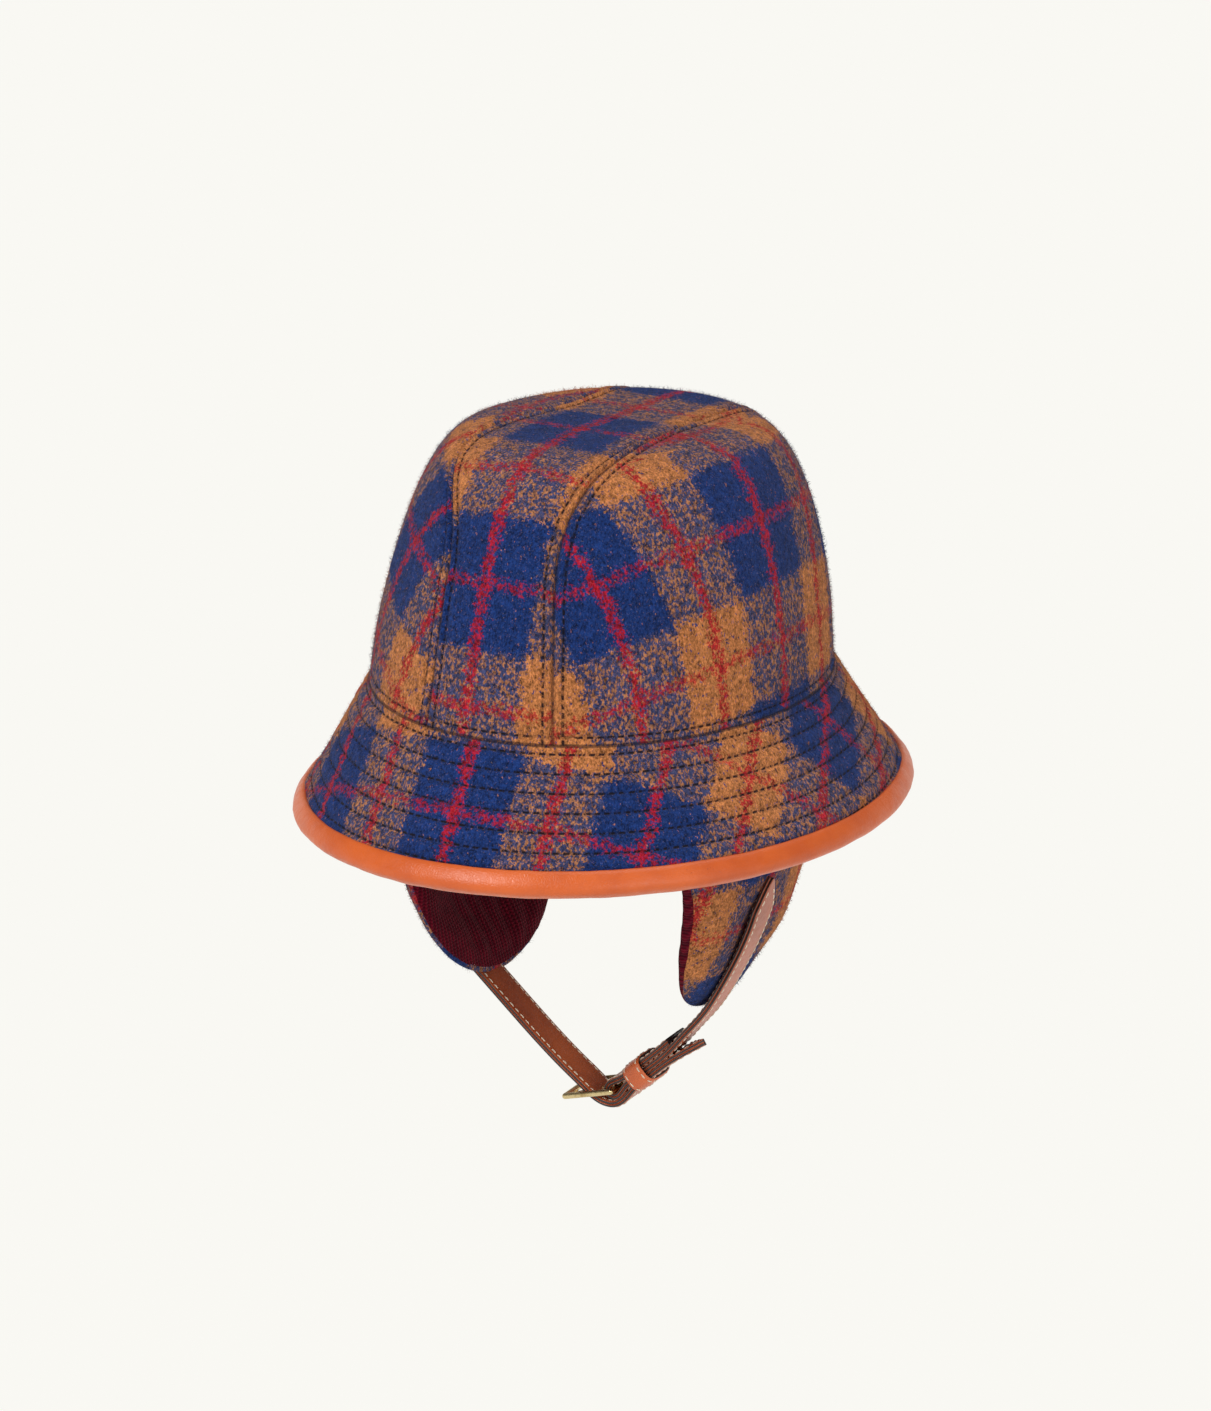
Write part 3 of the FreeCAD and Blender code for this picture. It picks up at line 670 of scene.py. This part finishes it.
def brim_marks(n):
    slant = n.value("slant")
    run = n.value("run")
    total = line_mark(n, slant, 0.9, 0.7)
    phase = n.minus(slant, STITCH_ROWS[0])
    pitch = STITCH_ROWS[1] - STITCH_ROWS[0]
    nearest = n.minus(n.math("FRACT", n.plus(n.math("DIVIDE", phase, pitch), 0.5)), 0.5)
    return n.math("MAXIMUM", total, line_mark(n, n.times(nearest, pitch), 0.6, 0.95, run))


def brim_coordinates(n):
    parts = n.split(n.vector("centre"))
    return parts[0], parts[1]


brim_wool = wool("brim_wool", brim_coordinates, brim_marks)
brim_top = brim_cloth("brim_upper_cloth", 0.0, True, np.linspace(0, 0.955, 74), STITCH_ROWS)
brim_top.data.materials.append(brim_wool)
brim_nap = make_nap(
    brim_top, "brim_wool_nap", 0.6, 2.2, ["centre", "slant", "run"], keep=lambda p: p[:, 2] > -43.0
)
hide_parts("brim_upper", "brim_interlining")
for obj in (brim_top, brim_nap):
    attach(obj, "hat")

brim_low = brim_cloth("brim_underside_cloth", 7.2, False, np.linspace(0.0, 0.955, 58), STITCH_ROWS)
brim_low.data.materials.append(brim_wool)
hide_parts("brim_underside")
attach(brim_low, "hat")


def make_binding():
    """The leather strip folded over the brim's edge, gathered slightly where it turns."""
    columns = 900
    theta = np.linspace(0, 2 * math.pi, columns, endpoint=False)
    edge = brim_point(theta, np.ones(columns))
    head = brim_point(theta, np.zeros(columns))
    down = edge - head
    down /= np.linalg.norm(down, axis=1)[:, None]
    tangent = np.roll(edge, -1, 0) - np.roll(edge, 1, 0)
    outward = np.cross(tangent, down)
    outward /= np.linalg.norm(outward, axis=1)[:, None]
    outward *= np.sign((outward * edge).sum(1))[:, None]
    section = [
        (-9.7, -0.6), (-9.9, 0.1), (-9.7, 0.7), (-9.0, 1.15), (-7.5, 1.5), (-5.5, 1.7),
        (-3.4, 1.75), (-1.6, 1.6), (-0.2, 1.15), (0.8, 0.3), (1.4, -0.9), (1.6, -2.6),
        (1.5, -4.2), (0.9, -5.8), (0.0, -6.9), (-1.6, -7.5), (-3.6, -7.7), (-6.0, -7.7),
        (-8.2, -7.4), (-9.2, -6.9), (-9.5, -6.2), (-9.3, -5.4),
    ]
    rows = []
    for s, t in section:
        rows.append(edge + down * (s * BINDING_FOLD - BINDING_SET_IN) + outward * t)
    flat = np.array(rows).reshape(-1, 3)
    obj = new_object("brim_binding_leather", flat, grid_faces(len(section), columns, wrap=True))
    gather = 0.08 * ripple(flat, 12, 9.0) + 0.12 * ripple(flat, 14, 26.0)
    lip = np.repeat([0 if k in (0, 21) else 1 for k in range(len(section))], columns)
    push(obj, gather * lip)
    obj.data.materials.append(binding_leather)
    return obj


binding = make_binding()
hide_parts("brim_binding")
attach(binding, "hat")


# ------------------------------------------------------------------ ear flaps
FLAP_DEPTHS = np.array([0.0, 12, 30, 50, 70, 86, 103, 118, 132])
FLAP_HALF_X = np.array([74.6, 74.9, 78.4, 78.3, 75.8, 71.6, 65.5, 57.5, 49.0])
FLAP_HALF_Y = np.array([96.0, 96.2, 98.0, 98.0, 96.0, 92.5, 87.5, 82.0, 77.0])
FLAP_THICK, FLAP_MIDDLE_Y = 7.6, 6.0
HINGE_X = 75.7
TUCK = math.radians(5.0)
RIGHT_TUCK = TUCK - math.radians(1.8)
RIGHT_DROP = 1.05


def cubic(xs, ys, query):
    """Natural cubic spline through the points."""
    xs, ys = np.asarray(xs, float), np.asarray(ys, float)
    h = np.diff(xs)
    m = len(xs)
    a = np.eye(m)
    b = np.zeros((m,) + ys.shape[1:])
    for i in range(1, m - 1):
        a[i, i - 1], a[i, i], a[i, i + 1] = h[i - 1], 2 * (h[i - 1] + h[i]), h[i]
        b[i] = 6 * ((ys[i + 1] - ys[i]) / h[i] - (ys[i] - ys[i - 1]) / h[i - 1])
    second = np.linalg.solve(a, b)
    k = np.clip(np.searchsorted(xs, query) - 1, 0, m - 2)
    shape = (-1,) + (1,) * (ys.ndim - 1)
    d, e = (query - xs[k]).reshape(shape), (xs[k + 1] - query).reshape(shape)
    w = h[k].reshape(shape)
    cubes = (second[k] * e**3 + second[k + 1] * d**3) / (6 * w)
    return cubes + (ys[k] / w - second[k] * w / 6) * e + (ys[k + 1] / w - second[k + 1] * w / 6) * d


def flap_outline(samples):
    """The flap's side view as (y, z) points, from a smooth closed curve through its outline."""
    corners = np.array([
        (8, -1.4), (28, -2.2), (50, -6.2), (70, -11.5), (74.5, -18), (70.5, -34), (62.5, -56),
        (53, -78), (42.5, -98), (27, -119.0), (3, -127.6), (-20, -120.4), (-33.5, -104),
        (-41, -80), (-48.5, -56), (-55.5, -32), (-59.0, -17), (-54, -9.0), (-40, -5.2),
        (-18, -1.8), (8, -1.4),
    ])
    step = np.concatenate([[0], np.cumsum(np.linalg.norm(np.diff(corners, axis=0), axis=1))])
    return cubic(step, corners, np.linspace(0, step[-1], samples, endpoint=False))


def flap_half_x(y, z, depth):
    """Distance of the pad from the middle of the head; depth is 0 on its outer face and 1 inside."""
    down = np.clip(-z, 0, FLAP_DEPTHS[-1])
    half_x = cubic(FLAP_DEPTHS, FLAP_HALF_X, down) - FLAP_THICK * depth
    half_y = cubic(FLAP_DEPTHS, FLAP_HALF_Y, down) - FLAP_THICK * depth
    return half_x * np.sqrt(np.maximum(0.02, 1 - ((y - FLAP_MIDDLE_Y) / half_y) ** 2))


def to_right(points, tuck=TUCK):
    """Mirrors a left-hand point and turns it in with the right flap."""
    p = points * np.array([-1.0, 1, 1])
    dx, dz = p[..., 0] + HINGE_X, p[..., 2]
    c, s = math.cos(tuck), math.sin(tuck)
    return np.stack([-HINGE_X + dx * c - dz * s, p[..., 1], dz * c + dx * s], -1)


def flap_pillow(fill, around, rings):
    """One closed pad between the outer face and the lining face, with a rounded rim."""
    outline = flap_outline(around)
    middle = np.array([4.0, -56.0])
    share = 1 - (1 - np.linspace(0.0, 1.0, rings)) ** 1.7
    spoke = outline - middle
    tangent = np.roll(outline, -1, 0) - np.roll(outline, 1, 0)
    tangent /= np.linalg.norm(tangent, axis=1)[:, None]
    square = np.abs(spoke[:, 0] * tangent[:, 1] - spoke[:, 1] * tangent[:, 0])
    plan = middle + share[:, None, None] * spoke
    inward = (1 - share)[:, None] * square[None, :]
    thick = np.sqrt(np.clip(1 - (1 - np.clip(inward / 7.5, 0, 1)) ** 2.2, 0, 1))
    y, z = plan[..., 0].ravel(), plan[..., 1].ravel()
    layers, faces = [], []
    for k, sign in enumerate((-1, 1)):
        depth = 0.5 + sign * 0.5 * fill * thick.ravel()
        layers.append(np.stack([flap_half_x(y, z, depth), y, z], -1))
        faces += grid_faces(rings, around, wrap=True, start=k * rings * around, flip=(sign > 0)).tolist()
    obj = new_object("pillow", np.concatenate(layers), faces)
    welder = obj.modifiers.new("weld", "WELD")
    welder.merge_threshold = 0.00003
    return apply_modifiers(obj)


def apply_modifiers(obj):
    depsgraph = bpy.context.evaluated_depsgraph_get()
    depsgraph.update()
    mesh = bpy.data.meshes.new_from_object(obj.evaluated_get(depsgraph))
    obj.modifiers.clear()
    obj.data = mesh
    return obj


def inflate(pad, pressure, limit):
    """Fills the pad: a coarse copy goes through the cloth solver and the pad follows it."""
    copy = flap_pillow(0.93, 160, 30)
    shape = copy.modifiers.new("remesh", "REMESH")
    shape.mode = "VOXEL"
    shape.voxel_size = 0.0036
    apply_modifiers(copy)
    start = coordinates(copy)
    cloth = copy.modifiers.new("cloth", "CLOTH")
    cloth.settings.quality = 6
    cloth.settings.mass = 0.25
    cloth.settings.tension_stiffness = 18
    cloth.settings.compression_stiffness = 18
    cloth.settings.shear_stiffness = 6
    cloth.settings.bending_stiffness = 1.2
    cloth.settings.use_pressure = True
    cloth.settings.uniform_pressure_force = pressure
    cloth.settings.effector_weights.gravity = 0
    cloth.collision_settings.use_collision = False
    scene = bpy.context.scene
    scene.frame_start, scene.frame_end = 1, 20
    for frame_number in range(1, 21):
        scene.frame_set(frame_number)
    apply_modifiers(copy)
    scene.frame_set(1)
    moved = coordinates(copy) - start
    far = np.linalg.norm(moved, axis=1)
    moved *= np.minimum(1, limit / np.maximum(far, 1e-6))[:, None]
    bpy.data.objects.remove(copy)
    tree = KDTree(len(start))
    for k, point in enumerate(start):
        tree.insert(point, k)
    tree.balance()
    own = coordinates(pad)
    change = np.zeros_like(own)
    for k, point in enumerate(own):
        found = tree.find_n(point, 10)
        weight = np.array([1.0 / (1.0 + hit[2]) for hit in found])
        change[k] = (moved[[hit[1] for hit in found]] * weight[:, None]).sum(0) / weight.sum()
    pad.data.vertices.foreach_set("co", ((own + change) * MM).ravel())
    pad.data.update()


def flap_pieces(word, seed):
    """Outer cloth and lining of one padded flap, parted along the middle of its rim."""
    pad = flap_pillow(0.95, 300, 56)
    inflate(pad, 3.0, 1.6)
    points = coordinates(pad)
    y, z = points[:, 1], points[:, 2]
    near, far = flap_half_x(y, z, np.zeros(len(y))), flap_half_x(y, z, np.ones(len(y)))
    depth = (near - points[:, 0]) / (near - far)
    faces = [tuple(p.vertices) for p in pad.data.polygons]
    parting = 0.32 if word == "left" else 0.62
    of_lining = np.array([depth[list(f)].mean() > parting for f in faces])
    on_outer = np.zeros(len(y), bool)
    on_lining = np.zeros(len(y), bool)
    for f, inner in zip(faces, of_lining):
        (on_lining if inner else on_outer)[list(f)] = True
    edge = on_outer & on_lining
    points[edge, 0] = (near + (far - near) * parting)[edge]
    bpy.data.objects.remove(pad)
    past, short = (depth - parting) / (1 - parting), (parting - depth) / parting
    rim = np.clip(np.where(depth > parting, past, short), 0, 1)
    pieces = {}
    for part, chosen, used in (("outer", ~of_lining, on_outer), ("lining", of_lining, on_lining)):
        number = np.cumsum(used) - 1
        own = points[used]
        placed = own.copy()
        if word == "right":
            widen = 1 + np.where(own[:, 1] > 3, 0.42, 0.27) * np.clip(-own[:, 2] / 90.0, 0, 1)
            own_wide = np.stack([own[:, 0], 3 + (own[:, 1] - 3) * widen, own[:, 2] * RIGHT_DROP], 1)
            placed = to_right(own_wide, RIGHT_TUCK)
        polygons = [tuple(number[list(f)]) for f, keep in zip(faces, chosen) if keep]
        if word == "right":
            polygons = [f[::-1] for f in polygons]
        obj = new_object("flap_%s_%s" % (word, "cloth" if part == "outer" else "knit"), placed, polygons)
        soft = np.clip((rim[used] - 0.35) / 0.6, 0, 1)
        if part == "outer":
            push(obj, soft * 0.8 * ripple(own, seed, 46.0))
            lead = 40.0 if word == "left" else 5.0
            attribute(obj, "centre", np.stack([own[:, 1] + lead, -own[:, 2] - 88.0, 0 * own[:, 0]], 1))
        else:
            folds = np.zeros(len(own))
            for k, place in enumerate((-30, -14, 2, 19, 37)):
                lean = place * (1 + own[:, 2] / 230.0) + 2.2 * np.sin(own[:, 2] / 23.0 + k)
                folds -= (1.1 + 0.4 * (k % 2)) * bell(own[:, 1] - lean, 2.6)
            below_seam = np.clip((-own[:, 2] - 8) / 30, 0, 1)
            push(obj, soft * (0.7 + folds * below_seam + 0.5 * ripple(own, seed + 2, 30.0)))
            attribute(obj, "knit", np.stack([own[:, 1], own[:, 2], 0 * own[:, 0]], 1))
        pieces[part] = obj
    return pieces


flap_wool = wool("flap_wool", brim_coordinates, lambda n: None)
for word, seed in (("left", 21), ("right", 31)):
    parts = flap_pieces(word, seed)
    parts["outer"].data.materials.append(flap_wool)
    nap = make_nap(
        parts["outer"], "flap_%s_wool_nap" % word, 0.8, 2.6, ["centre"], keep=lambda p: p[:, 2] < -12.0
    )
    parts["lining"].data.materials.append(burgundy)
    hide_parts("flap_%s_outer" % word, "flap_%s_padding" % word)
    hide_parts("flap_%s_lining" % word)
    for obj, slot in (
        (parts["outer"], "plaid_wool"), (nap, "plaid_wool"), (parts["lining"], "burgundy_knit"),
    ):
        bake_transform(obj)


# ------------------------------------------------------------------ chin strap
HEEL = np.array([18.0, -166.0])
ALONG = np.array([math.cos(math.radians(45)), math.sin(math.radians(45))])
OUT = np.array([ALONG[1], -ALONG[0]])
MID_Y = -8.5
PLY = 1.3
GAP = 0.2
WRAP = 2 * PLY + GAP
DIAGONAL = 0.7071
HALF = 7.5


def near_heel(run, out):
    return tuple(HEEL + ALONG * run + OUT * out)


def tucked(x, z):
    """A point of the right strap where it lies on the right flap's outer cloth."""
    p = to_right(np.array([x + 1.4, 0.0, z * RIGHT_DROP]), RIGHT_TUCK)
    return (p[0], p[2])


left_line = [
    (78.2, -68.0), (74.4, -84.0), (69.0, -99.0), (62.5, -113.0), (55.0, -126.5), (47.5, -136.4),
    near_heel(28.0, PLY + GAP + 0.1), near_heel(18.0, PLY + GAP), near_heel(10.0, PLY + GAP),
    near_heel(5.0, PLY + GAP + 0.35), near_heel(2.2, WRAP - 0.25), near_heel(0.0, WRAP),
    near_heel(-WRAP * DIAGONAL, WRAP * DIAGONAL), near_heel(-WRAP, 0.0),
    near_heel(-WRAP * DIAGONAL, -WRAP * DIAGONAL), near_heel(0.0, -WRAP), near_heel(2.2, -WRAP + 0.25),
    near_heel(5.0, -PLY - GAP - 0.35), near_heel(10.0, -PLY - GAP), near_heel(18.0, -PLY - GAP),
    near_heel(27.0, -PLY - GAP + 0.1), near_heel(34.0, -PLY - GAP - 0.2),
]
right_line = [
    tucked(78.2, -68.0), tucked(74.4, -84.0), tucked(69.0, -99.0), tucked(63.0, -112.0), (-46.5, -128.0),
    (-38.0, -135.0), (-26.6, -144.4), (-14.6, -154.0), (-4.0, -161.8), (4.5, -167.6),
    (12.0, -171.9), (18.8, -171.9),
    near_heel(3.6, 5.2), near_heel(9.0, 3 * PLY + 2 * GAP), near_heel(18.0, 3 * PLY + 2 * GAP),
    near_heel(28.0, 3 * PLY + 3 * GAP), near_heel(36.0, 3 * PLY + 1.5), near_heel(43.0, 3 * PLY + 2.9),
]


class Path:
    """A strap's middle line in the XZ plane, walked by its length."""

    def __init__(self, points):
        points = np.array(points)
        chord = np.concatenate([[0], np.cumsum(np.linalg.norm(np.diff(points, axis=0), axis=1))])
        fine = np.linspace(0, chord[-1], 4000)
        self.line = cubic(chord, points, fine)
        self.run = np.concatenate([[0], np.cumsum(np.linalg.norm(np.diff(self.line, axis=0), axis=1))])
        self.length = self.run[-1]

    def at(self, s):
        s = np.asarray(s, float)
        point = np.stack([np.interp(s, self.run, self.line[:, i]) for i in (0, 1)], -1)
        ahead = np.stack([np.interp(s + 0.2, self.run, self.line[:, i]) for i in (0, 1)], -1)
        behind = np.stack([np.interp(s - 0.2, self.run, self.line[:, i]) for i in (0, 1)], -1)
        tangent = ahead - behind
        tangent /= np.linalg.norm(tangent, axis=-1)[..., None]
        return point, tangent, np.stack([-tangent[..., 1], tangent[..., 0]], -1)


def width_at(path, s, point_start, point_end):
    """Half width of the strap, drawn to a point over the given lengths at its ends."""
    half = np.full(np.shape(s), HALF)
    if point_start:
        half = np.minimum(half, HALF * np.clip(np.asarray(s) / point_start, 0.02, 1) ** 0.75)
    if point_end:
        half = np.minimum(half, HALF * np.clip((path.length - np.asarray(s)) / point_end, 0.02, 1) ** 0.75)
    return half


def ply_mesh(name, path, low, high, start_point, end_point, outside, face_material, back_material):
    """One leather ply between two distances from the path, with rounded painted edges."""
    s = np.linspace(0, path.length, int(path.length / 0.55))
    point, _, side = path.at(s)
    half = width_at(path, s, start_point, end_point)
    mid, h = (low + high) / 2, (high - low) / 2
    section = []
    for y in (-1.0, -0.92, -0.6, -0.2, 0.2, 0.6, 0.92, 1.0):
        section.append((y, 1.0))
    for y in (1.0, 0.92, 0.6, 0.2, -0.2, -0.6, -0.92, -1.0):
        section.append((y, -1.0))
    rows = []
    for y, t in section:
        rounded = 0.55 if abs(y) == 1.0 else 1.0
        proud = 0.06 if abs(y) <= 0.6 else (0.0 if abs(y) == 1.0 else -0.02)
        y_mm = MID_Y + np.sign(y) * np.maximum(np.abs(y) * half, 0.02)
        off = mid + t * (h * rounded + proud * h)
        xz = point + side * off
        rows.append(np.stack([xz[:, 0], y_mm, xz[:, 1]], -1))
    points = np.array(rows).transpose(1, 0, 2)
    count = len(section)
    flat = points.reshape(-1, 3)
    faces = grid_faces(len(s), count, wrap=True).tolist()
    faces.append(list(range(count))[::-1])
    faces.append([(len(s) - 1) * count + i for i in range(count)])
    obj = new_object(name, flat, faces)
    for material in (face_material, back_material, edge_paint):
        obj.data.materials.append(material)
    ring_slots = [2 if k in (7, 15) else (0 if k < 7 else 1) for k in range(count)]
    slots = ring_slots * (len(s) - 1) + [2, 2]
    if not outside:
        slots = [{0: 1, 1: 0, 2: 2}[v] for v in slots]
    obj.data.polygons.foreach_set("material_index", slots)
    obj.data.update()
    return obj


def capsule(centre, axis, up, length, radius):
    """Points and faces of one short thread stitch, lying along an axis."""
    side = np.cross(axis, up)
    points, faces = [], []
    shape = [(-0.5, 0.25), (-0.42, 0.8), (0.0, 1.0), (0.42, 0.8), (0.5, 0.25)]
    for along, fat in shape:
        for k in range(6):
            a = 2 * math.pi * k / 6
            sink = -0.35 * radius * (abs(along) > 0.3)
            lift = up * (math.sin(a) * fat * radius + sink)
            points.append(centre + axis * along * length + lift + side * math.cos(a) * fat * radius)
    for r in range(4):
        for k in range(6):
            faces.append((r * 6 + k, r * 6 + (k + 1) % 6, (r + 1) * 6 + (k + 1) % 6, (r + 1) * 6 + k))
    faces.append(tuple(range(6))[::-1])
    faces.append(tuple(range(24, 30)))
    return points, faces


def strap_stitches(name, path, outer, start_point, end_point, skip=()):
    points, faces = [], []
    for face in (outer, -outer):
        for edge in (-1, 1):
            for s in np.arange(3.0, path.length - 2.5, 3.1):
                if any(a < s < b for a, b in skip):
                    continue
                p, tangent, side = path.at(np.array([s]))
                half = float(width_at(path, np.array([s]), start_point, end_point)[0])
                further = np.array([s + 1.0])
                ahead = float(width_at(path, further, start_point, end_point)[0])
                if half < 3.0:
                    continue
                y = MID_Y + edge * (half - 1.45)
                normal = np.array([side[0, 0], 0, side[0, 1]]) * (1 if face > 0 else -1)
                axis = np.array([tangent[0, 0], edge * (ahead - half), tangent[0, 1]])
                axis /= np.linalg.norm(axis)
                centre = np.array([p[0, 0], y, p[0, 1]]) + normal * (PLY + 0.10)
                new_points, new_faces = capsule(centre, axis, normal, 2.25, 0.30)
                base = len(points)
                points += new_points
                faces += [tuple(base + i for i in f) for f in new_faces]
    obj = new_object(name, points, faces)
    obj.data.materials.append(thread)
    return obj


left_path, right_path = Path(left_line), Path(right_line)
for word, path, outer, start_point, end_point in (
    ("left", left_path, 1, 13.0, 0.0), ("right", right_path, -1, 13.0, 10.0),
):
    plies = {
        "outer": (0.0, PLY) if outer > 0 else (-PLY, 0.0),
        "back": (-PLY, 0.0) if outer > 0 else (0.0, PLY),
    }
    objects = []
    for part, (low, high) in plies.items():
        obj = ply_mesh(
            "strap_%s_%s_leather" % (word, part), path, low, high, start_point, end_point,
            outer > 0, strap_face_and_glare, strap_inside,
        )
        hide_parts("strap_%s_%s" % (word, part))
        objects.append((obj, "strap_leather" if part == "outer" else "strap_backing"))
    heel_run = float(path.run[np.argmin(np.linalg.norm(path.line - HEEL, axis=1))])
    skip = [(heel_run - 6, heel_run + 6)] if word == "left" else []
    stitches = strap_stitches("strap_%s_stitches" % word, path, outer, start_point, end_point, skip)
    objects.append((stitches, "strap_leather"))
    for obj, slot in objects:
        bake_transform(obj)


# ------------------------------------------------------------------ keeper
KEEPER_RUN = 13.5


def make_keeper():
    """A stitched leather loop round the stacked strap ends."""
    around = 96
    angle = np.linspace(0, 2 * math.pi, around, endpoint=False)
    power = 2.0 / 3.4
    half_y, half_t, centre_t = 8.75, 5.0, 1.35
    y = np.sign(np.cos(angle)) * np.abs(np.cos(angle)) ** power * half_y
    t = np.sign(np.sin(angle)) * np.abs(np.sin(angle)) ** power * half_t + centre_t
    ring = np.stack([y, t], 1)
    tangent = np.roll(ring, -1, 0) - np.roll(ring, 1, 0)
    normal = np.stack([tangent[:, 1], -tangent[:, 0]], 1)
    normal /= np.linalg.norm(normal, axis=1)[:, None]
    half, thick = 4.6, 0.75
    profile = [
        (-half, -0.35), (-half, 0.35), (-half + 0.4, thick), (-half * 0.5, thick + 0.12),
        (0, thick + 0.18), (half * 0.5, thick + 0.12), (half - 0.4, thick), (half, 0.35),
        (half, -0.35), (half - 0.4, -thick), (0, -thick), (-half + 0.4, -thick),
    ]
    rows = []
    for run, out in profile:
        at = ring + normal * out
        base = HEEL[None, :] + ALONG[None, :] * (KEEPER_RUN + run) + OUT[None, :] * at[:, 1:2]
        rows.append(np.stack([base[:, 0], MID_Y + at[:, 0], base[:, 1]], -1))
    points = np.array(rows)
    count = len(profile)
    faces = grid_faces(count, around, wrap=True).tolist()
    last = (count - 1) * around
    faces += [(last + i, last + (i + 1) % around, (i + 1) % around, i) for i in range(around)]
    obj = new_object("keeper_loop_leather", points.reshape(-1, 3), faces)
    slots = []
    for k in range(count):
        slots += [2 if k in (0, 7) else (1 if k in (8, 9, 10, 11) else 0)] * around
    for material in (keeper_face, strap_inside, edge_paint):
        obj.data.materials.append(material)
    obj.data.polygons.foreach_set("material_index", slots)
    stitches, stitch_faces = [], []
    gaps = np.cumsum(np.linalg.norm(np.roll(ring, -1, 0) - ring, axis=1))
    for edge in (-1, 1):
        for s in np.arange(1.5, gaps[-1], 3.0):
            k = int(np.searchsorted(gaps, s)) % around
            out = np.array([OUT[0] * normal[k, 1], normal[k, 0], OUT[1] * normal[k, 1]])
            way = tangent[k] / np.linalg.norm(tangent[k])
            along = np.array([OUT[0] * way[1], way[0], OUT[1] * way[1]])
            base = HEEL + ALONG * (KEEPER_RUN + edge * 3.3) + OUT * ring[k, 1]
            centre = np.array([base[0], MID_Y + ring[k, 0], base[1]]) + out * 0.92
            new_points, new_faces = capsule(centre, along, out, 2.1, 0.28)
            start = len(stitches)
            stitches += new_points
            stitch_faces += [tuple(start + i for i in f) for f in new_faces]
    sewn = new_object("keeper_stitches", stitches, stitch_faces)
    sewn.data.materials.append(thread)
    return obj, sewn


keeper, keeper_thread = make_keeper()
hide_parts("strap_keeper")
for obj in (keeper, keeper_thread):
    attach(obj, "keeper")

# ------------------------------------------------------------------ buckle keeps its CAD shape
for name in ("buckle_frame", "buckle_prong"):
    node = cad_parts[name]
    node.data.materials.clear()
    node.data.materials.append(brass)

# ------------------------------------------------------------------ stage, lights and camera
size = 14.0
floor_points = []
steps = 57
for j in range(steps):
    for i in range(steps):
        across = -size + 2 * size * i / (steps - 1)
        along = -size + 2 * size * j / (steps - 1)
        climb = 0.07 * max(0.0, math.hypot(across, along) - 5.0) ** 2
        floor_points.append((across / MM, along / MM, (min(climb, 5.0) - 2.6) / MM))
floor = new_object("floor", floor_points, grid_faces(steps, steps))
pale = Nodes("pale_floor")
pale_base = pale.mix(pale.noise(3, 2), (0.05, 0.05, 0.049, 1), (0.045, 0.045, 0.044, 1))
pale.set(Base_Color=pale_base, Roughness=0.9, Specular_IOR_Level=0.0)
pale.shader.inputs["Emission Color"].default_value = rgb(251, 250, 245)
pale.shader.inputs["Emission Strength"].default_value = 0.965
floor.data.materials.append(pale.material)
floor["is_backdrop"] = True

world = bpy.data.worlds.new("studio")
world.use_nodes = True
world.node_tree.nodes["Background"].inputs["Color"].default_value = (1.0, 0.985, 0.96, 1.0)
world.node_tree.nodes["Background"].inputs["Strength"].default_value = 0.20
bpy.context.scene.world = world


def soft_light(name, place, target, size_m, power, colour=(1, 1, 1)):
    data = bpy.data.lights.new(name, "AREA")
    data.shape = "DISK"
    data.size = size_m
    data.energy = power
    data.color = colour
    lamp = bpy.data.objects.new(name, data)
    lamp.location = place
    direction = np.array(target) - np.array(place)
    lamp.rotation_euler = Vector(direction).to_track_quat("-Z", "Y").to_euler()
    bpy.context.scene.collection.objects.link(lamp)
    return lamp


soft_light("key", (-0.35, -1.9, 1.5), (0, 0, 0), 1.0, 40.0)
soft_light("fill", (1.9, -0.9, 0.8), (0, 0, -0.02), 1.2, 13.0, (1.0, 0.98, 0.95))
soft_light("top", (0.2, 0.5, 2.0), (0, 0, 0), 1.5, 16.0)

AZIMUTH, ELEVATION, ROLL, DISTANCE = math.radians(28.0), math.radians(17.2), math.radians(1.8), 1.5
back = np.array([
    math.sin(AZIMUTH) * math.cos(ELEVATION), -math.cos(AZIMUTH) * math.cos(ELEVATION), math.sin(ELEVATION),
])
right = np.array([math.cos(AZIMUTH), math.sin(AZIMUTH), 0.0])
up = np.cross(back, right)
turned_right = math.cos(ROLL) * right + math.sin(ROLL) * up
turned_up = -math.sin(ROLL) * right + math.cos(ROLL) * up
place = back * DISTANCE
camera_data = bpy.data.cameras.new("camera")
camera_data.sensor_fit = "VERTICAL"
camera_data.sensor_height = 36.0
camera_data.lens = 100.3
camera_data.shift_y = -0.0291
camera_data.shift_x = 0.0006
camera = bpy.data.objects.new("camera", camera_data)
camera.matrix_world = Matrix([
    (turned_right[0], turned_up[0], back[0], place[0]),
    (turned_right[1], turned_up[1], back[1], place[1]),
    (turned_right[2], turned_up[2], back[2], place[2]),
    (0, 0, 0, 1),
])
bpy.context.scene.collection.objects.link(camera)
bpy.context.scene.camera = camera
bpy.context.scene.view_settings.view_transform = "Standard"

low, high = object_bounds()
